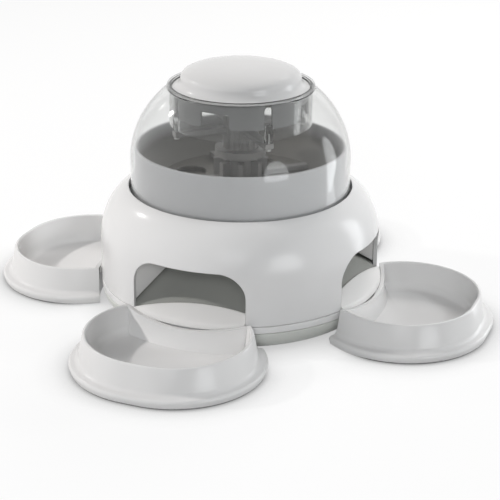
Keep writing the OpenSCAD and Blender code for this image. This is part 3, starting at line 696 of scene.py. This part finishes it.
@dataclass
class Drum:
    """White shell with four arched outlets, and the chute inside it."""

    post_low: float
    low: float
    radius: float = DRUM_R
    wall: float = 3 * MM
    shoulder: float = 55.0 * MM
    shoulder_h: float = 44.2 * MM
    shoulder_steps: int = 30
    crown_r: float = 77.4 * MM
    open_r: float = 87.2 * MM
    seat_drop: float = 10.2 * MM
    ledge_w: float = 15.2 * MM
    ledge_t: float = 3 * MM
    neck_t: float = 2.5 * MM
    window_w: float = 90.2 * MM
    window_h: float = 41.3 * MM
    window_corner: float = 20 * MM
    window_steps: int = 16
    window_out: float = 6 * MM
    window_depth: float = 34 * MM
    window_under: float = 5 * MM
    post_out: float = 84 * MM
    post_r: float = 5 * MM
    post_h: float = 30 * MM
    rib_half: float = 1.2 * MM
    cone_rise: float = math.tan(math.radians(30))
    cone_lift: float = 2 * MM
    cone_top_r: float = 30 * MM
    cone_wall: float = 2.6 * MM
    lip_reach: float = 12.5 * MM
    lip_skew: float = math.radians(6)
    lip_t: float = 1.6 * MM
    lip_nose: float = 2.3 * MM
    lip_drop: float = 2 * MM
    lip_roll: float = 58
    lip_steps: int = 240
    gap: float = 0.3 * MM
    edge: float = 0.7 * MM

    @property
    def rim(self) -> float:
        """Height of the shell's top edge."""
        return self.shoulder + self.shoulder_h * math.sin(self._slope(self.open_r, 0.0))

    @property
    def seat(self) -> float:
        """Height of the ledge that carries the hopper."""
        return self.rim - self.seat_drop

    @property
    def post_high(self) -> float:
        """Height of the screw posts' top."""
        return self.post_low + self.post_h

    def _slope(self, r: float, inset: float) -> float:
        """Angle on the shoulder's curve at a radius, or on its lining, which is inset."""
        return math.acos((r - self.crown_r) / (self.radius - self.crown_r - inset))

    def shell_profile(self) -> list[Point]:
        """The shell's section, from its lower edge over the shoulder and back inside."""
        wide, centre = self.radius - self.crown_r, (self.crown_r, self.shoulder)
        rim_deg, open_deg = (math.degrees(self._slope(self.open_r, inset)) for inset in (0.0, self.wall))
        points = [(self.radius, self.low, self.edge)]
        points += arc(centre, wide, self.shoulder_h, 0, rim_deg, self.shoulder_steps)[:-1]
        points += [(self.open_r, self.rim, self.edge)]
        points += arc(centre, wide - self.wall, self.shoulder_h - self.wall, open_deg, 0, self.shoulder_steps)
        return points + [(self.radius - self.wall, self.low)]

    def seat_ring(self) -> Piece:
        """Builds the ring with the hopper's ledge and returns it."""
        seat, ledge, neck = self.seat, self.open_r - self.ledge_w, self.open_r + self.neck_t
        low, painted_shade = self.shoulder - self.gap / 2, self.shoulder_h - self.wall
        profile = [(ledge, seat - self.ledge_t, self.edge), (neck, seat - self.ledge_t, self.edge),
                   (neck, low + painted_shade * math.sin(self._slope(neck, self.wall))),
                   (self.open_r, low + painted_shade * math.sin(self._slope(self.open_r, self.wall))),
                   (self.open_r, seat), (ledge, seat, self.edge)]
        return smoothed(as_object(turned(profile, True), "seat_skin"))

    def window(self) -> Body:
        """The front window's cutter, a slab with rounded top corners."""
        half, front, top = self.window_w / 2, -self.radius - self.window_out, self.low + self.window_h
        bm = boxed((-half, front, self.low - self.window_under), (half, front + self.window_depth, top))
        corners = [e for e in bm.edges if all(v.co.z > top - MM for v in e.verts)
                   and abs(e.verts[0].co.x - e.verts[1].co.x) < MM]
        bmesh.ops.bevel(bm, geom=corners, offset=self.window_corner, offset_type="OFFSET", affect="EDGES",
                        segments=self.window_steps, profile=0.5, material=-1)
        return bm

    def shell(self) -> Piece:
        """Builds the shell with its windows and screw posts and returns it."""
        made = as_object(turned(self.shell_profile(), True), "drum_skin")
        for side in Side:
            carve(made, moved(self.window(), side.turn))
            post = drilled(self.post_r, self.post_low, self.post_high)
            rib = boxed((-self.rib_half, -self.radius + self.wall / 2, self.low),
                        (self.rib_half, -self.post_out, self.post_high))
            carve(made, set_out(post, self.post_out, side.corner), Cut.UNION)
            carve(made, moved(rib, side.corner), Cut.UNION)
        return smoothed(made)

    def cone_z(self, r: float) -> float:
        """Height of the cone's surface at a radius."""
        return self.low + self.cone_lift + (self.radius - r) * self.cone_rise

    def cone(self) -> Piece:
        """Builds the chute cone and returns it."""
        outer = self.radius - self.wall - self.gap
        inner, top = outer - self.cone_wall, self.cone_z(self.cone_top_r)
        drop = self.cone_wall * math.sqrt(1 + self.cone_rise ** 2)
        profile = [(0.0, top - self.cone_wall), (self.cone_top_r, top - self.cone_wall),
                   (inner, self.cone_z(inner) - drop), (inner, self.low), (outer, self.low),
                   (outer, self.cone_z(outer)), (self.cone_top_r, top), (0.0, top)]
        made = as_object(turned(profile, False), "chute_skin")
        for side in Side:
            slot = drilled(self.post_r + self.gap, self.post_low, self.post_high + self.gap)
            carve(made, set_out(slot, self.post_out, side.corner))
        return smoothed(made)

    def lip(self, side: Side) -> Piece:
        """Builds the light lip of one outlet.

        Args:
            side: the outlet's side.

        Returns:
            The lip.
        """
        gap = self.gap / 2
        skirt = self.radius - self.wall - self.gap + gap
        chord, half = self.radius - self.lip_reach, self.window_w / 2 - self.gap
        back = chord - MM
        top = self.cone_z(self.radius) + gap + self.lip_t
        edge = self.low - self.lip_drop
        profile = [(back, self.cone_z(back) + gap), (skirt, self.cone_z(skirt) + gap), (skirt, self.low),
                   (self.radius + gap, self.low), (self.radius + gap, edge)]
        profile += arc((self.radius - self.lip_t, edge), self.lip_nose + self.lip_t, top - edge,
                       0, self.lip_roll, 12)
        profile += [(back, self.cone_z(back) + gap + self.lip_t)]
        bm = turned(profile, True, self.lip_steps)
        skew = self.lip_skew if side in (Side.FRONT, Side.BACK) else -self.lip_skew
        inward = (-math.sin(skew), math.cos(skew), 0)
        planes = [((0, -chord, 0), inward), ((half, 0, 0), (1, 0, 0)), ((-half, 0, 0), (-1, 0, 0)),
                  ((0, 0, 0), (0, 1, 0))]
        for place, away in planes:
            geom = list(bm.verts) + list(bm.edges) + list(bm.faces)
            bmesh.ops.bisect_plane(bm, geom=geom, dist=MERGE, plane_co=place, plane_no=away, clear_outer=True)
            capped(bm)
        return smoothed(as_object(moved(bm, side.turn), f"outlet_lip_skin_{side.label}"))

    def dress(self, dresser: Dresser) -> None:
        """Builds and hands over the pieces.

        Args:
            dresser: takes the pieces and paints the nodes.
        """
        finishes = dresser.finishes
        dresser.piece(self.shell(), "base", finishes.white, "drum_shell")
        dresser.piece(self.seat_ring(), "base", finishes.white, "seat_ring")
        # The cone carries painted shade: its dark colour stands for the shade inside the outlets.
        dresser.piece(self.cone(), "base", finishes.dark, "chute_cone")
        for side in Side:
            dresser.piece(self.lip(side), "base", finishes.pale, f"outlet_lip_{side.label}")
        dresser.repaint(finishes.pale, "chute_dividers")


@dataclass
class Hopper:
    """Grey cup on the drum's seat, and the gate and agitator that turn in it."""

    seat: float
    outer: float = 82.0 * MM
    wall: float = 2.4 * MM
    height: float = 42.4 * MM
    floor_rise: float = 14 * MM
    floor_t: float = 3 * MM
    funnel_w: float = 17 * MM
    funnel_h: float = 11 * MM
    flange_r: float = 86.9 * MM
    flange_lift: float = 3 * MM
    flange_t: float = 2.5 * MM
    bore: float = 6.57 * MM
    drop_r: float = 12 * MM
    drop_out: float = 42 * MM

    def cup(self) -> Piece:
        """Builds the cup with its funnel, flange and drop holes and returns it."""
        inner, floor = self.outer - self.wall, self.seat + self.floor_rise
        under, top = floor - self.floor_t, self.seat + self.height
        flange = self.seat + self.flange_lift
        edge = self.wall / 3
        profile = [(self.outer, self.seat), (self.outer, flange), (self.flange_r, flange, edge),
                   (self.flange_r, flange + self.flange_t, edge), (self.outer, flange + self.flange_t),
                   (self.outer, top, edge), (inner, top, edge), (inner, floor + self.funnel_h, 2 * self.wall),
                   (inner - self.funnel_w, floor), (self.bore, floor), (self.bore, under),
                   (inner, under), (inner, self.seat)]
        made = as_object(turned(profile, True), "hopper_skin")
        for side in Side:
            hole = drilled(self.drop_r, under - MM, floor + MM)
            carve(made, set_out(hole, self.drop_out, side.turn))
        return smoothed(made)

    def dress(self, dresser: Dresser) -> None:
        """Builds and hands over the pieces.

        Args:
            dresser: takes the pieces and paints the nodes.
        """
        finishes = dresser.finishes
        dresser.piece(self.cup(), "base", finishes.grey, "hopper_cup")
        dresser.repaint(finishes.grey, "gate_disc")
        dresser.repaint(finishes.guide, "agitator")
        dresser.repaint(finishes.pale, "thrust_washer")
        dresser.repaint(finishes.brass, "spindle_bush")
        dresser.repaint(finishes.steel, "rotor_spindle", "spindle_clip", "cup_screws")


@dataclass
class Dome:
    """Clear dome with its seal, the collar in its mouth and the guide that hangs from it."""

    seat: float
    lift: float = 7 * MM
    radius: float = 85.6 * MM
    wall: float = 2 * MM
    side_h: float = 24 * MM
    rise: float = 75 * MM
    mouth_r: float = 55.0 * MM
    steps: int = 40
    crisp: float = 40.0

    @property
    def line(self) -> float:
        """Height where the upright side turns into the vault."""
        return self.seat + self.lift + self.side_h

    @property
    def mouth(self) -> float:
        """Height of the vault's opening."""
        return self.line + self.rise * math.sin(math.acos(self.mouth_r / self.radius))

    def shell(self) -> Piece:
        """Builds the dome as one smooth clear wall and returns it."""
        low, inner, edge = self.seat + self.lift, self.radius - self.wall, self.wall / 4
        outer_deg, inner_deg = (math.degrees(math.acos(self.mouth_r / r)) for r in (self.radius, inner))
        outside = arc((0.0, self.line), self.radius, self.rise, 0, outer_deg, self.steps)
        inside = arc((0.0, self.line), inner, self.rise - self.wall, inner_deg, 0, self.steps)
        profile = [(self.radius, low, edge), *outside[:-1], (*outside[-1], edge)]
        profile += [(*inside[0], edge), *inside[1:], (inner, low, edge)]
        return smoothed(as_object(turned(profile, True), "dome_skin"), self.crisp)

    def dress(self, dresser: Dresser) -> None:
        """Builds and hands over the pieces.

        Args:
            dresser: takes the pieces and paints the nodes.
        """
        finishes = dresser.finishes
        dresser.piece(self.shell(), "dome", finishes.clear, "dome_shell")
        dresser.repaint(finishes.smoke, "dome_collar")
        dresser.repaint(finishes.rubber, "dome_seal")
        dresser.repaint(finishes.guide, "guide_spider")
        dresser.repaint(finishes.brass, "rod_bush")
        dresser.repaint(finishes.steel, "spider_screws")


@dataclass
class Button:
    """Paw button: cap, skirt, plunger and return spring."""

    seat: float
    mouth: float
    cap_r: float = 46.3 * MM
    cap_h: float = 10.5 * MM
    cap_lift: float = 6.4 * MM
    cap_wall: float = 2.5 * MM
    brim_r: float = 52.6 * MM
    brim_drop: float = 2.5 * MM
    brim_t: float = 3 * MM
    brim_inset: float = 0.6 * MM
    brim_edges: tuple[float, float] = (0.5 * MM, 0.8 * MM)
    skirt_in_r: float = 49.3 * MM
    sleeve_r: float = 16.8 * MM
    sleeve_in_r: float = 14.6 * MM
    sleeve_lift: float = 68 * MM
    sleeve_gap: float = 0.3 * MM
    boss_r: float = 5.2 * MM
    rod_depth: float = 9.4 * MM
    rod_flange: float = 3 * MM
    spring_r: float = 10 * MM
    spring_lift: float = 37 * MM
    spring_turns: int = 9
    turn_steps: int = 32
    wire_r: float = 0.8 * MM
    wire_sides: int = 12
    wire_tilt: float = math.radians(80)
    travel: float = 10 * MM

    @property
    def top(self) -> float:
        """Height of the cap's top."""
        return self.mouth + self.cap_lift + self.cap_h

    @property
    def spring_low(self) -> float:
        """Height of the spring's lower end."""
        return self.seat + self.spring_lift

    @property
    def spring_h(self) -> float:
        """Length of the spring at rest."""
        return self.top - self.rod_depth - self.rod_flange - self.spring_low

    def cap(self) -> Piece:
        """Builds the cap with its sleeve and screw boss and returns it."""
        brim, bulge = self.mouth - self.brim_drop, self.mouth + self.cap_lift
        edge = brim + self.brim_t - self.brim_inset
        under = self.cap_h - self.cap_wall
        lower, upper = self.brim_edges
        profile = crown(self.cap_r - self.cap_wall, under, bulge)[::-1]
        profile += [(self.skirt_in_r, brim), (self.brim_r, brim, lower), (self.brim_r, edge, upper)]
        profile += arc((self.brim_r, bulge), self.cap_r - self.brim_r, edge - bulge, 80, 10, 14)
        profile += crown(self.cap_r, self.cap_h, bulge)
        made = as_object(turned(profile, False), "button_skin")
        low, high = self.seat + self.sleeve_lift, bulge + under - self.sleeve_gap
        sleeve = [(self.sleeve_in_r, low), (self.sleeve_r, low),
                  (self.sleeve_r, high), (self.sleeve_in_r, high)]
        carve(made, turned(sleeve, True), Cut.UNION)
        boss = drilled(self.boss_r, self.top - self.rod_depth, self.top - self.cap_wall / 2)
        carve(made, boss, Cut.UNION)
        return smoothed(made)

    def spring(self) -> Piece:
        """Builds the return spring as one swept wire and returns it."""
        straight = 2 * self.wire_r
        bm = bmesh.new()
        bmesh.ops.create_circle(bm, cap_ends=False, segments=self.wire_sides, radius=self.wire_r)
        bmesh.ops.translate(bm, vec=(self.spring_r, 0, self.spring_low), verts=bm.verts)
        ring = self._raise(bm, list(bm.edges), straight)
        flat = Matrix.Rotation(self.wire_tilt, 4, "X")
        verts = self._tilt(bm, ring, flat.inverted())
        steps = self.turn_steps * self.spring_turns
        climb = (self.spring_h - 2 * straight) / steps
        spun = bmesh.ops.spin(bm, geom=verts + ring, cent=(0, 0, 0), axis=UP, dvec=(0, 0, climb),
                              angle=math.tau * self.spring_turns, steps=steps, use_merge=False)
        last = [e for e in spun["geom_last"] if isinstance(e, bmesh.types.BMEdge)]
        self._tilt(bm, last, flat)
        self._raise(bm, last, straight)
        return smoothed(as_object(capped(bm), "spring_wire"), 180.0)

    @staticmethod
    def _tilt(bm: Body, ring: Ring, turn: Matrix) -> list[bmesh.types.BMVert]:
        """Turns a ring of edges about its middle.

        Args:
            bm: the body.
            ring: the edges.
            turn: the rotation.

        Returns:
            The ring's vertices, each once.
        """
        verts = list(dict.fromkeys(v for e in ring for v in e.verts))
        middle = sum((v.co for v in verts), Vector()) / len(verts)
        bmesh.ops.rotate(bm, cent=middle, matrix=turn, verts=verts)
        return verts

    @staticmethod
    def _raise(bm: Body, ring: Ring, height: float) -> Ring:
        """Extrudes a ring of edges straight up.

        Args:
            bm: the body.
            ring: the edges.
            height: how far.

        Returns:
            The new ring.
        """
        grown = bmesh.ops.extrude_edge_only(bm, edges=ring)["geom"]
        verts = [g for g in grown if isinstance(g, bmesh.types.BMVert)]
        bmesh.ops.translate(bm, vec=(0, 0, height), verts=verts)
        fresh = set(verts)
        return [g for g in grown if isinstance(g, bmesh.types.BMEdge) and set(g.verts) <= fresh]

    def dress(self, dresser: Dresser) -> None:
        """Builds and hands over the pieces.

        Args:
            dresser: takes the pieces and paints the nodes.
        """
        finishes = dresser.finishes
        dresser.piece(self.cap(), "button", finishes.cap, "button_cap")
        dresser.repaint(finishes.skirt, "cap_skirt")
        dresser.repaint(finishes.pale, "plunger_rod")
        dresser.repaint(finishes.steel, "cam_pin", "plunger_screw")
        spring = dresser.piece(self.spring(), "dome", finishes.steel, "return_spring")
        self.spring_low
        (self.spring_h - self.travel) / self.spring_h
        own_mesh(spring)


@dataclass
class Bowls:
    """Four loose bowls, each with a concave side that fits the drum."""

    drum_r: float = DRUM_R
    out: float = 27.5 * MM
    gap: float = 2.6 * MM
    rim_r: float = 56.3 * MM
    spread: float = 6.4 * MM
    height: float = 27 * MM
    wall: float = 3 * MM
    flare: float = 3.6 * MM
    flange_w: float = 6.8 * MM
    flange_h: float = 7 * MM
    flange_roll: float = 2.1 * MM
    flange_fillet: float = 0.6 * MM
    floor: float = 5 * MM
    fillet: float = 7 * MM
    dip: float = 7 * MM
    dip_half_w: float = 53 * MM
    dip_gap: float = 0.3 * MM
    dip_steps: int = 512
    bite_fillet: float = 3.5 * MM
    pad_h: float = 1 * MM
    over: float = 3 * MM
    steps: int = 128

    def _stadium(self, profile: Sequence[Point]) -> Body:
        """Spins a profile and draws its two halves apart.

        Args:
            profile: points that start and end on the axis.

        Returns:
            The closed body at the front bowl's place.
        """
        bm = turned(profile, False, self.steps)
        for way in (-1.0, 1.0):
            half = [v for v in bm.verts if v.co.x * way > MERGE]
            bmesh.ops.translate(bm, vec=(way * self.spread, 0, 0), verts=half)
        bmesh.ops.translate(bm, vec=(0, -self.drum_r - self.out, 0), verts=bm.verts)
        return bm

    def _outside(self) -> list[Point]:
        """The bowl's outer section, with its flange and rolled rim."""
        base, roll = self.rim_r + self.flare, self.wall / 2
        flange = base + self.flange_w
        lip = self.pad_h + self.flange_h / 2
        shelf = flange - self.flange_roll
        points = [(0.0, self.pad_h), (flange - self.flange_roll / 2, self.pad_h)]
        points += arc((shelf, lip), self.flange_roll, self.flange_h - lip, 0, 80, 10)
        points += arc((shelf, self.flange_h + self.flange_w / 2), shelf - base + self.flange_fillet,
                      self.flange_w / 2, 250, 190, 10)
        points += [(self.rim_r, self.height - self.wall / 3)]
        points += arc((self.rim_r - roll, self.height - roll), roll, roll, 30, 90, 6)
        return points + [(0.0, self.height)]

    def _inside(self) -> list[Point]:
        """The section of the bowl's hollow."""
        bore = self.rim_r - self.wall
        floor_r = bore - self.fillet - self.flare / 2
        points = [(0.0, self.floor), (floor_r, self.floor)]
        points += arc((floor_r, self.floor + self.fillet), self.fillet, self.fillet, -75, 0, 12)
        roll = self.wall / 2
        points += arc((bore + roll, self.height - roll), roll, roll, 180, 90, 6)
        return points + [(bore + roll, self.height + MM), (0.0, self.height + MM)]

    def shape(self) -> Body:
        """Builds the front bowl and returns its body."""
        bite = self.drum_r + self.gap
        inner = bite + self.wall
        hollow = as_object(self._stadium(self._inside()), "hollow")
        low, high = self.floor - MM, self.height + self.over
        side = [(0.0, low), (inner + self.bite_fillet, low), (inner, self.floor + 2 * self.bite_fillet),
                (inner, high), (0.0, high)]
        carve(hollow, turned(side, False, FINE_STEPS))
        made = as_object(self._stadium(self._outside()), "bowl")
        carve(made, taken(hollow))
        carve(made, drilled(bite, -MM, high, FINE_STEPS))
        dip_r = (self.dip_half_w ** 2 + self.dip ** 2) / (2 * self.dip)
        scoop = drilled(dip_r, 0.0, bite / 2 + self.wall + self.dip_gap, self.dip_steps)
        lying = Matrix.Rotation(math.pi / 2, 4, "X")
        carve(made, moved(scoop, Matrix.Translation((0, -bite / 2, self.height - self.dip + dip_r)) @ lying))
        return taken(made)

    def dress(self, dresser: Dresser) -> None:
        """Builds one bowl, turns a copy of it to each side and hands the copies over.

        Args:
            dresser: takes the pieces and paints the nodes.
        """
        finishes = dresser.finishes
        pattern = self.shape()
        for side in Side:
            made = smoothed(as_object(moved(pattern.copy(), side.turn), f"bowl_skin_{side.label}"))
            body = f"bowl_{side.label}"
            dresser.piece(made, body, finishes.bowl, body)
            dresser.repaint(finishes.rubber, f"bowl_pads_{side.label}")
        pattern.free()


# The studio

@dataclass(frozen=True)
class Lamp:
    """One flat oval lamp that faces the feeder.

    Its way leads from the feeder to the lamp, along camera right, ahead and up. A lamp that doesn't
    shine is left out of reflections and clear pieces. One that doesn't light is seen only in those.
    """

    name: str
    way: Point
    distance: float
    size: tuple[float, float]
    power: float
    tint: Colour = COOL
    shines: bool = True
    lights: bool = True


LAMPS = (
    Lamp("key", (-0.82, 0.03, 0.47), 1.6, (0.1, 0.1), 13.2, WARM, shines=False),
    Lamp("glint", (-0.74, 0.35, 0.57), 1.6, (0.12, 0.12), 1.5, WARM),
    Lamp("side", (0.996, 0.093, 0.78), 1.6, (0.3, 0.3), 4.6, shines=False),
    Lamp("back", (0.4, 1.0, 0.8), 1.6, (0.5, 0.5), 9.0, WARM, shines=False),
    Lamp("top", (0.0, 0.05, 1.0), 1.6, (0.7, 0.7), 1.0, WARM, shines=False),
    Lamp("strip", (0.94, 0.3, 0.2), 1.5, (0.3, 0.4), 8.2, shines=False),
    Lamp("card", (0.996, 0.085, 0.1), 0.31, (0.085, 0.22), 0.14, lights=False),
    Lamp("window", (0.59, -0.81, 0.06), 1.4, (0.62, 0.86), 4.4, lights=False),
    Lamp("fill", (-0.1, -1.0, 0.4), 1.8, (0.8, 0.8), 10.4, shines=False),
)


@dataclass
class Studio:
    """Floor, lamps, background and camera."""

    azimuth: float = math.radians(21.64)
    elevation: float = math.radians(22.083)
    distance: float = 1178.19 * MM
    roll: float = 0.008
    lens: float = 106.33
    sensor: float = 36.0
    far: float = 20.0
    aim_right: float = 7.873 * MM
    aim_up: float = 39.861 * MM
    lamp_aim: float = 80 * MM
    surround: float = 0.14
    floor_half: float = 6.0
    floor_white: float = 0.84
    floor_tone: float = 0.95
    floor_bounce: float = 0.6
    # Painted contact shadow in the floor's glow: its reach, its samples, and where and how much it is lifted
    # under the drum.
    contact: float = 26 * MM
    contact_samples: int = 8
    contact_r: float = 125 * MM
    contact_fade: float = 25 * MM
    painted_shadow_lift: float = 0.6

    def _ground_axes(self) -> tuple[Vector, Vector]:
        """The camera's right and forward directions on the floor."""
        right = Vector((math.cos(self.azimuth), math.sin(self.azimuth), 0.0))
        return right, UP.cross(right)

    def camera(self) -> None:
        """Places the camera as in the photograph."""
        right, ahead = self._ground_axes()
        look = ahead * math.cos(self.elevation) - UP * math.sin(self.elevation)
        level_up = right.cross(look)
        turn = Matrix.Rotation(-self.roll, 3, look)
        across, above = turn @ right, turn @ level_up
        place = right * self.aim_right + UP * self.aim_up - look * self.distance
        data = bpy.data.cameras.new("camera")
        data.lens, data.sensor_width, data.clip_end = self.lens, self.sensor, self.far
        made = bpy.data.objects.new("camera", data)
        basis = Matrix((across, above, -look)).transposed().to_4x4()
        made.matrix_world = Matrix.Translation(place) @ basis
        bpy.context.scene.collection.objects.link(made)
        bpy.context.scene.camera = made

    def light(self, lamp: Lamp) -> None:
        """Adds one lamp.

        Args:
            lamp: the lamp.
        """
        toward = sum((axis * part for axis, part in zip((*self._ground_axes(), UP), lamp.way)), Vector())
        toward.normalize()
        data = bpy.data.lights.new(lamp.name, "AREA")
        data.shape, data.energy, data.color = "ELLIPSE", lamp.power, lamp.tint
        data.size, data.size_y = lamp.size
        made = bpy.data.objects.new(lamp.name, data)
        place = UP * self.lamp_aim + toward * lamp.distance
        made.matrix_world = Matrix.Translation(place) @ toward.to_track_quat("Z", "Y").to_matrix().to_4x4()
        made.visible_camera = False
        made.visible_glossy = made.visible_transmission = lamp.shines
        made.visible_diffuse = lamp.lights
        bpy.context.scene.collection.objects.link(made)

    @staticmethod
    def _seen(bench: Bench) -> Wire:
        """1 for rays that show the background directly, in a reflection or through a clear piece."""
        outputs = ("Is Camera Ray", "Is Glossy Ray", "Is Transmission Ray", "Diffuse Depth")
        rays = (bench.add("ShaderNodeLightPath", {}, {}, output) for output in outputs)
        camera, glossy, through, bounced = rays
        return (camera + glossy + through - bounced).clamped()

    def world(self) -> None:
        """Makes the soft surrounding light, white where it is seen."""
        made = bpy.data.worlds.new("studio")
        made.use_nodes = True
        bench = Bench(made.node_tree)
        strength = self._seen(bench) * (1.0 - self.surround) + self.surround
        glow = bench.add("ShaderNodeBackground", {}, {"Color": (*WHITE, 1.0), "Strength": strength})
        bench.add("ShaderNodeOutputWorld", {}, {"Surface": glow})
        bpy.context.scene.world = made

    def floor(self) -> None:
        """Makes the pale floor, mostly plain white, whose white glow carries a painted contact shadow that is
        painted weaker under the drum.
        """
        bm = bmesh.new()
        bmesh.ops.create_grid(bm, x_segments=1, y_segments=1, size=self.floor_half)
        made = as_object(bm, "floor")
        material, bench, place = new_material("pale_floor")
        seen = self._seen(bench)
        tone = bench.between(seen, toned(WHITE, self.floor_bounce), toned(WHITE, self.floor_tone))
        matte = bench.add("ShaderNodeBsdfDiffuse", {}, {"Color": tone})
        # Painted shadow: the floor's white glow is darkened near the feeder by ambient occlusion, and this
        # painted shadow is lifted again under the drum.
        painted_shadow_glow = bench.add("ShaderNodeAmbientOcclusion", {"samples": self.contact_samples},
                             {"Distance": self.contact}, "AO")
        painted_shadow_lift_mask = 1.0 - ((bench.reach(place) - self.contact_r) * (1.0 / self.contact_fade)).clamped()
        painted_shadow_glow = painted_shadow_glow + (1.0 - painted_shadow_glow) * painted_shadow_lift_mask * self.painted_shadow_lift
        white = bench.add("ShaderNodeEmission", {}, {"Color": (*WHITE, 1.0), "Strength": painted_shadow_glow})
        mixed = bench.add("ShaderNodeMixShader", {}, {0: seen * self.floor_white, 1: matte, 2: white})
        bench.add("ShaderNodeOutputMaterial", {}, {"Surface": mixed})
        made.data.materials.append(material)

    def build(self) -> None:
        """Sets up the whole studio."""
        bpy.context.scene.view_settings.view_transform = "Standard"
        self.camera()
        self.world()
        self.floor()
        for lamp in LAMPS:
            self.light(lamp)


def main() -> None:
    """Loads the frame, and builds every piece."""
    logging.basicConfig(level=logging.INFO, format="%(name)s: %(message)s")
    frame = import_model()
    Studio().build()
    dresser = Dresser(Finishes(), frame["nodes"])
    base = Base()
    drum = Drum(base.foot_h, base.top)
    dome = Dome(drum.seat)
    for assembly in (base, drum, Hopper(drum.seat), dome, Button(drum.seat, dome.mouth), Bowls()):
        assembly.dress(dresser)
    bpy.context.view_layer.update()


if __name__ == "__main__":
    main()
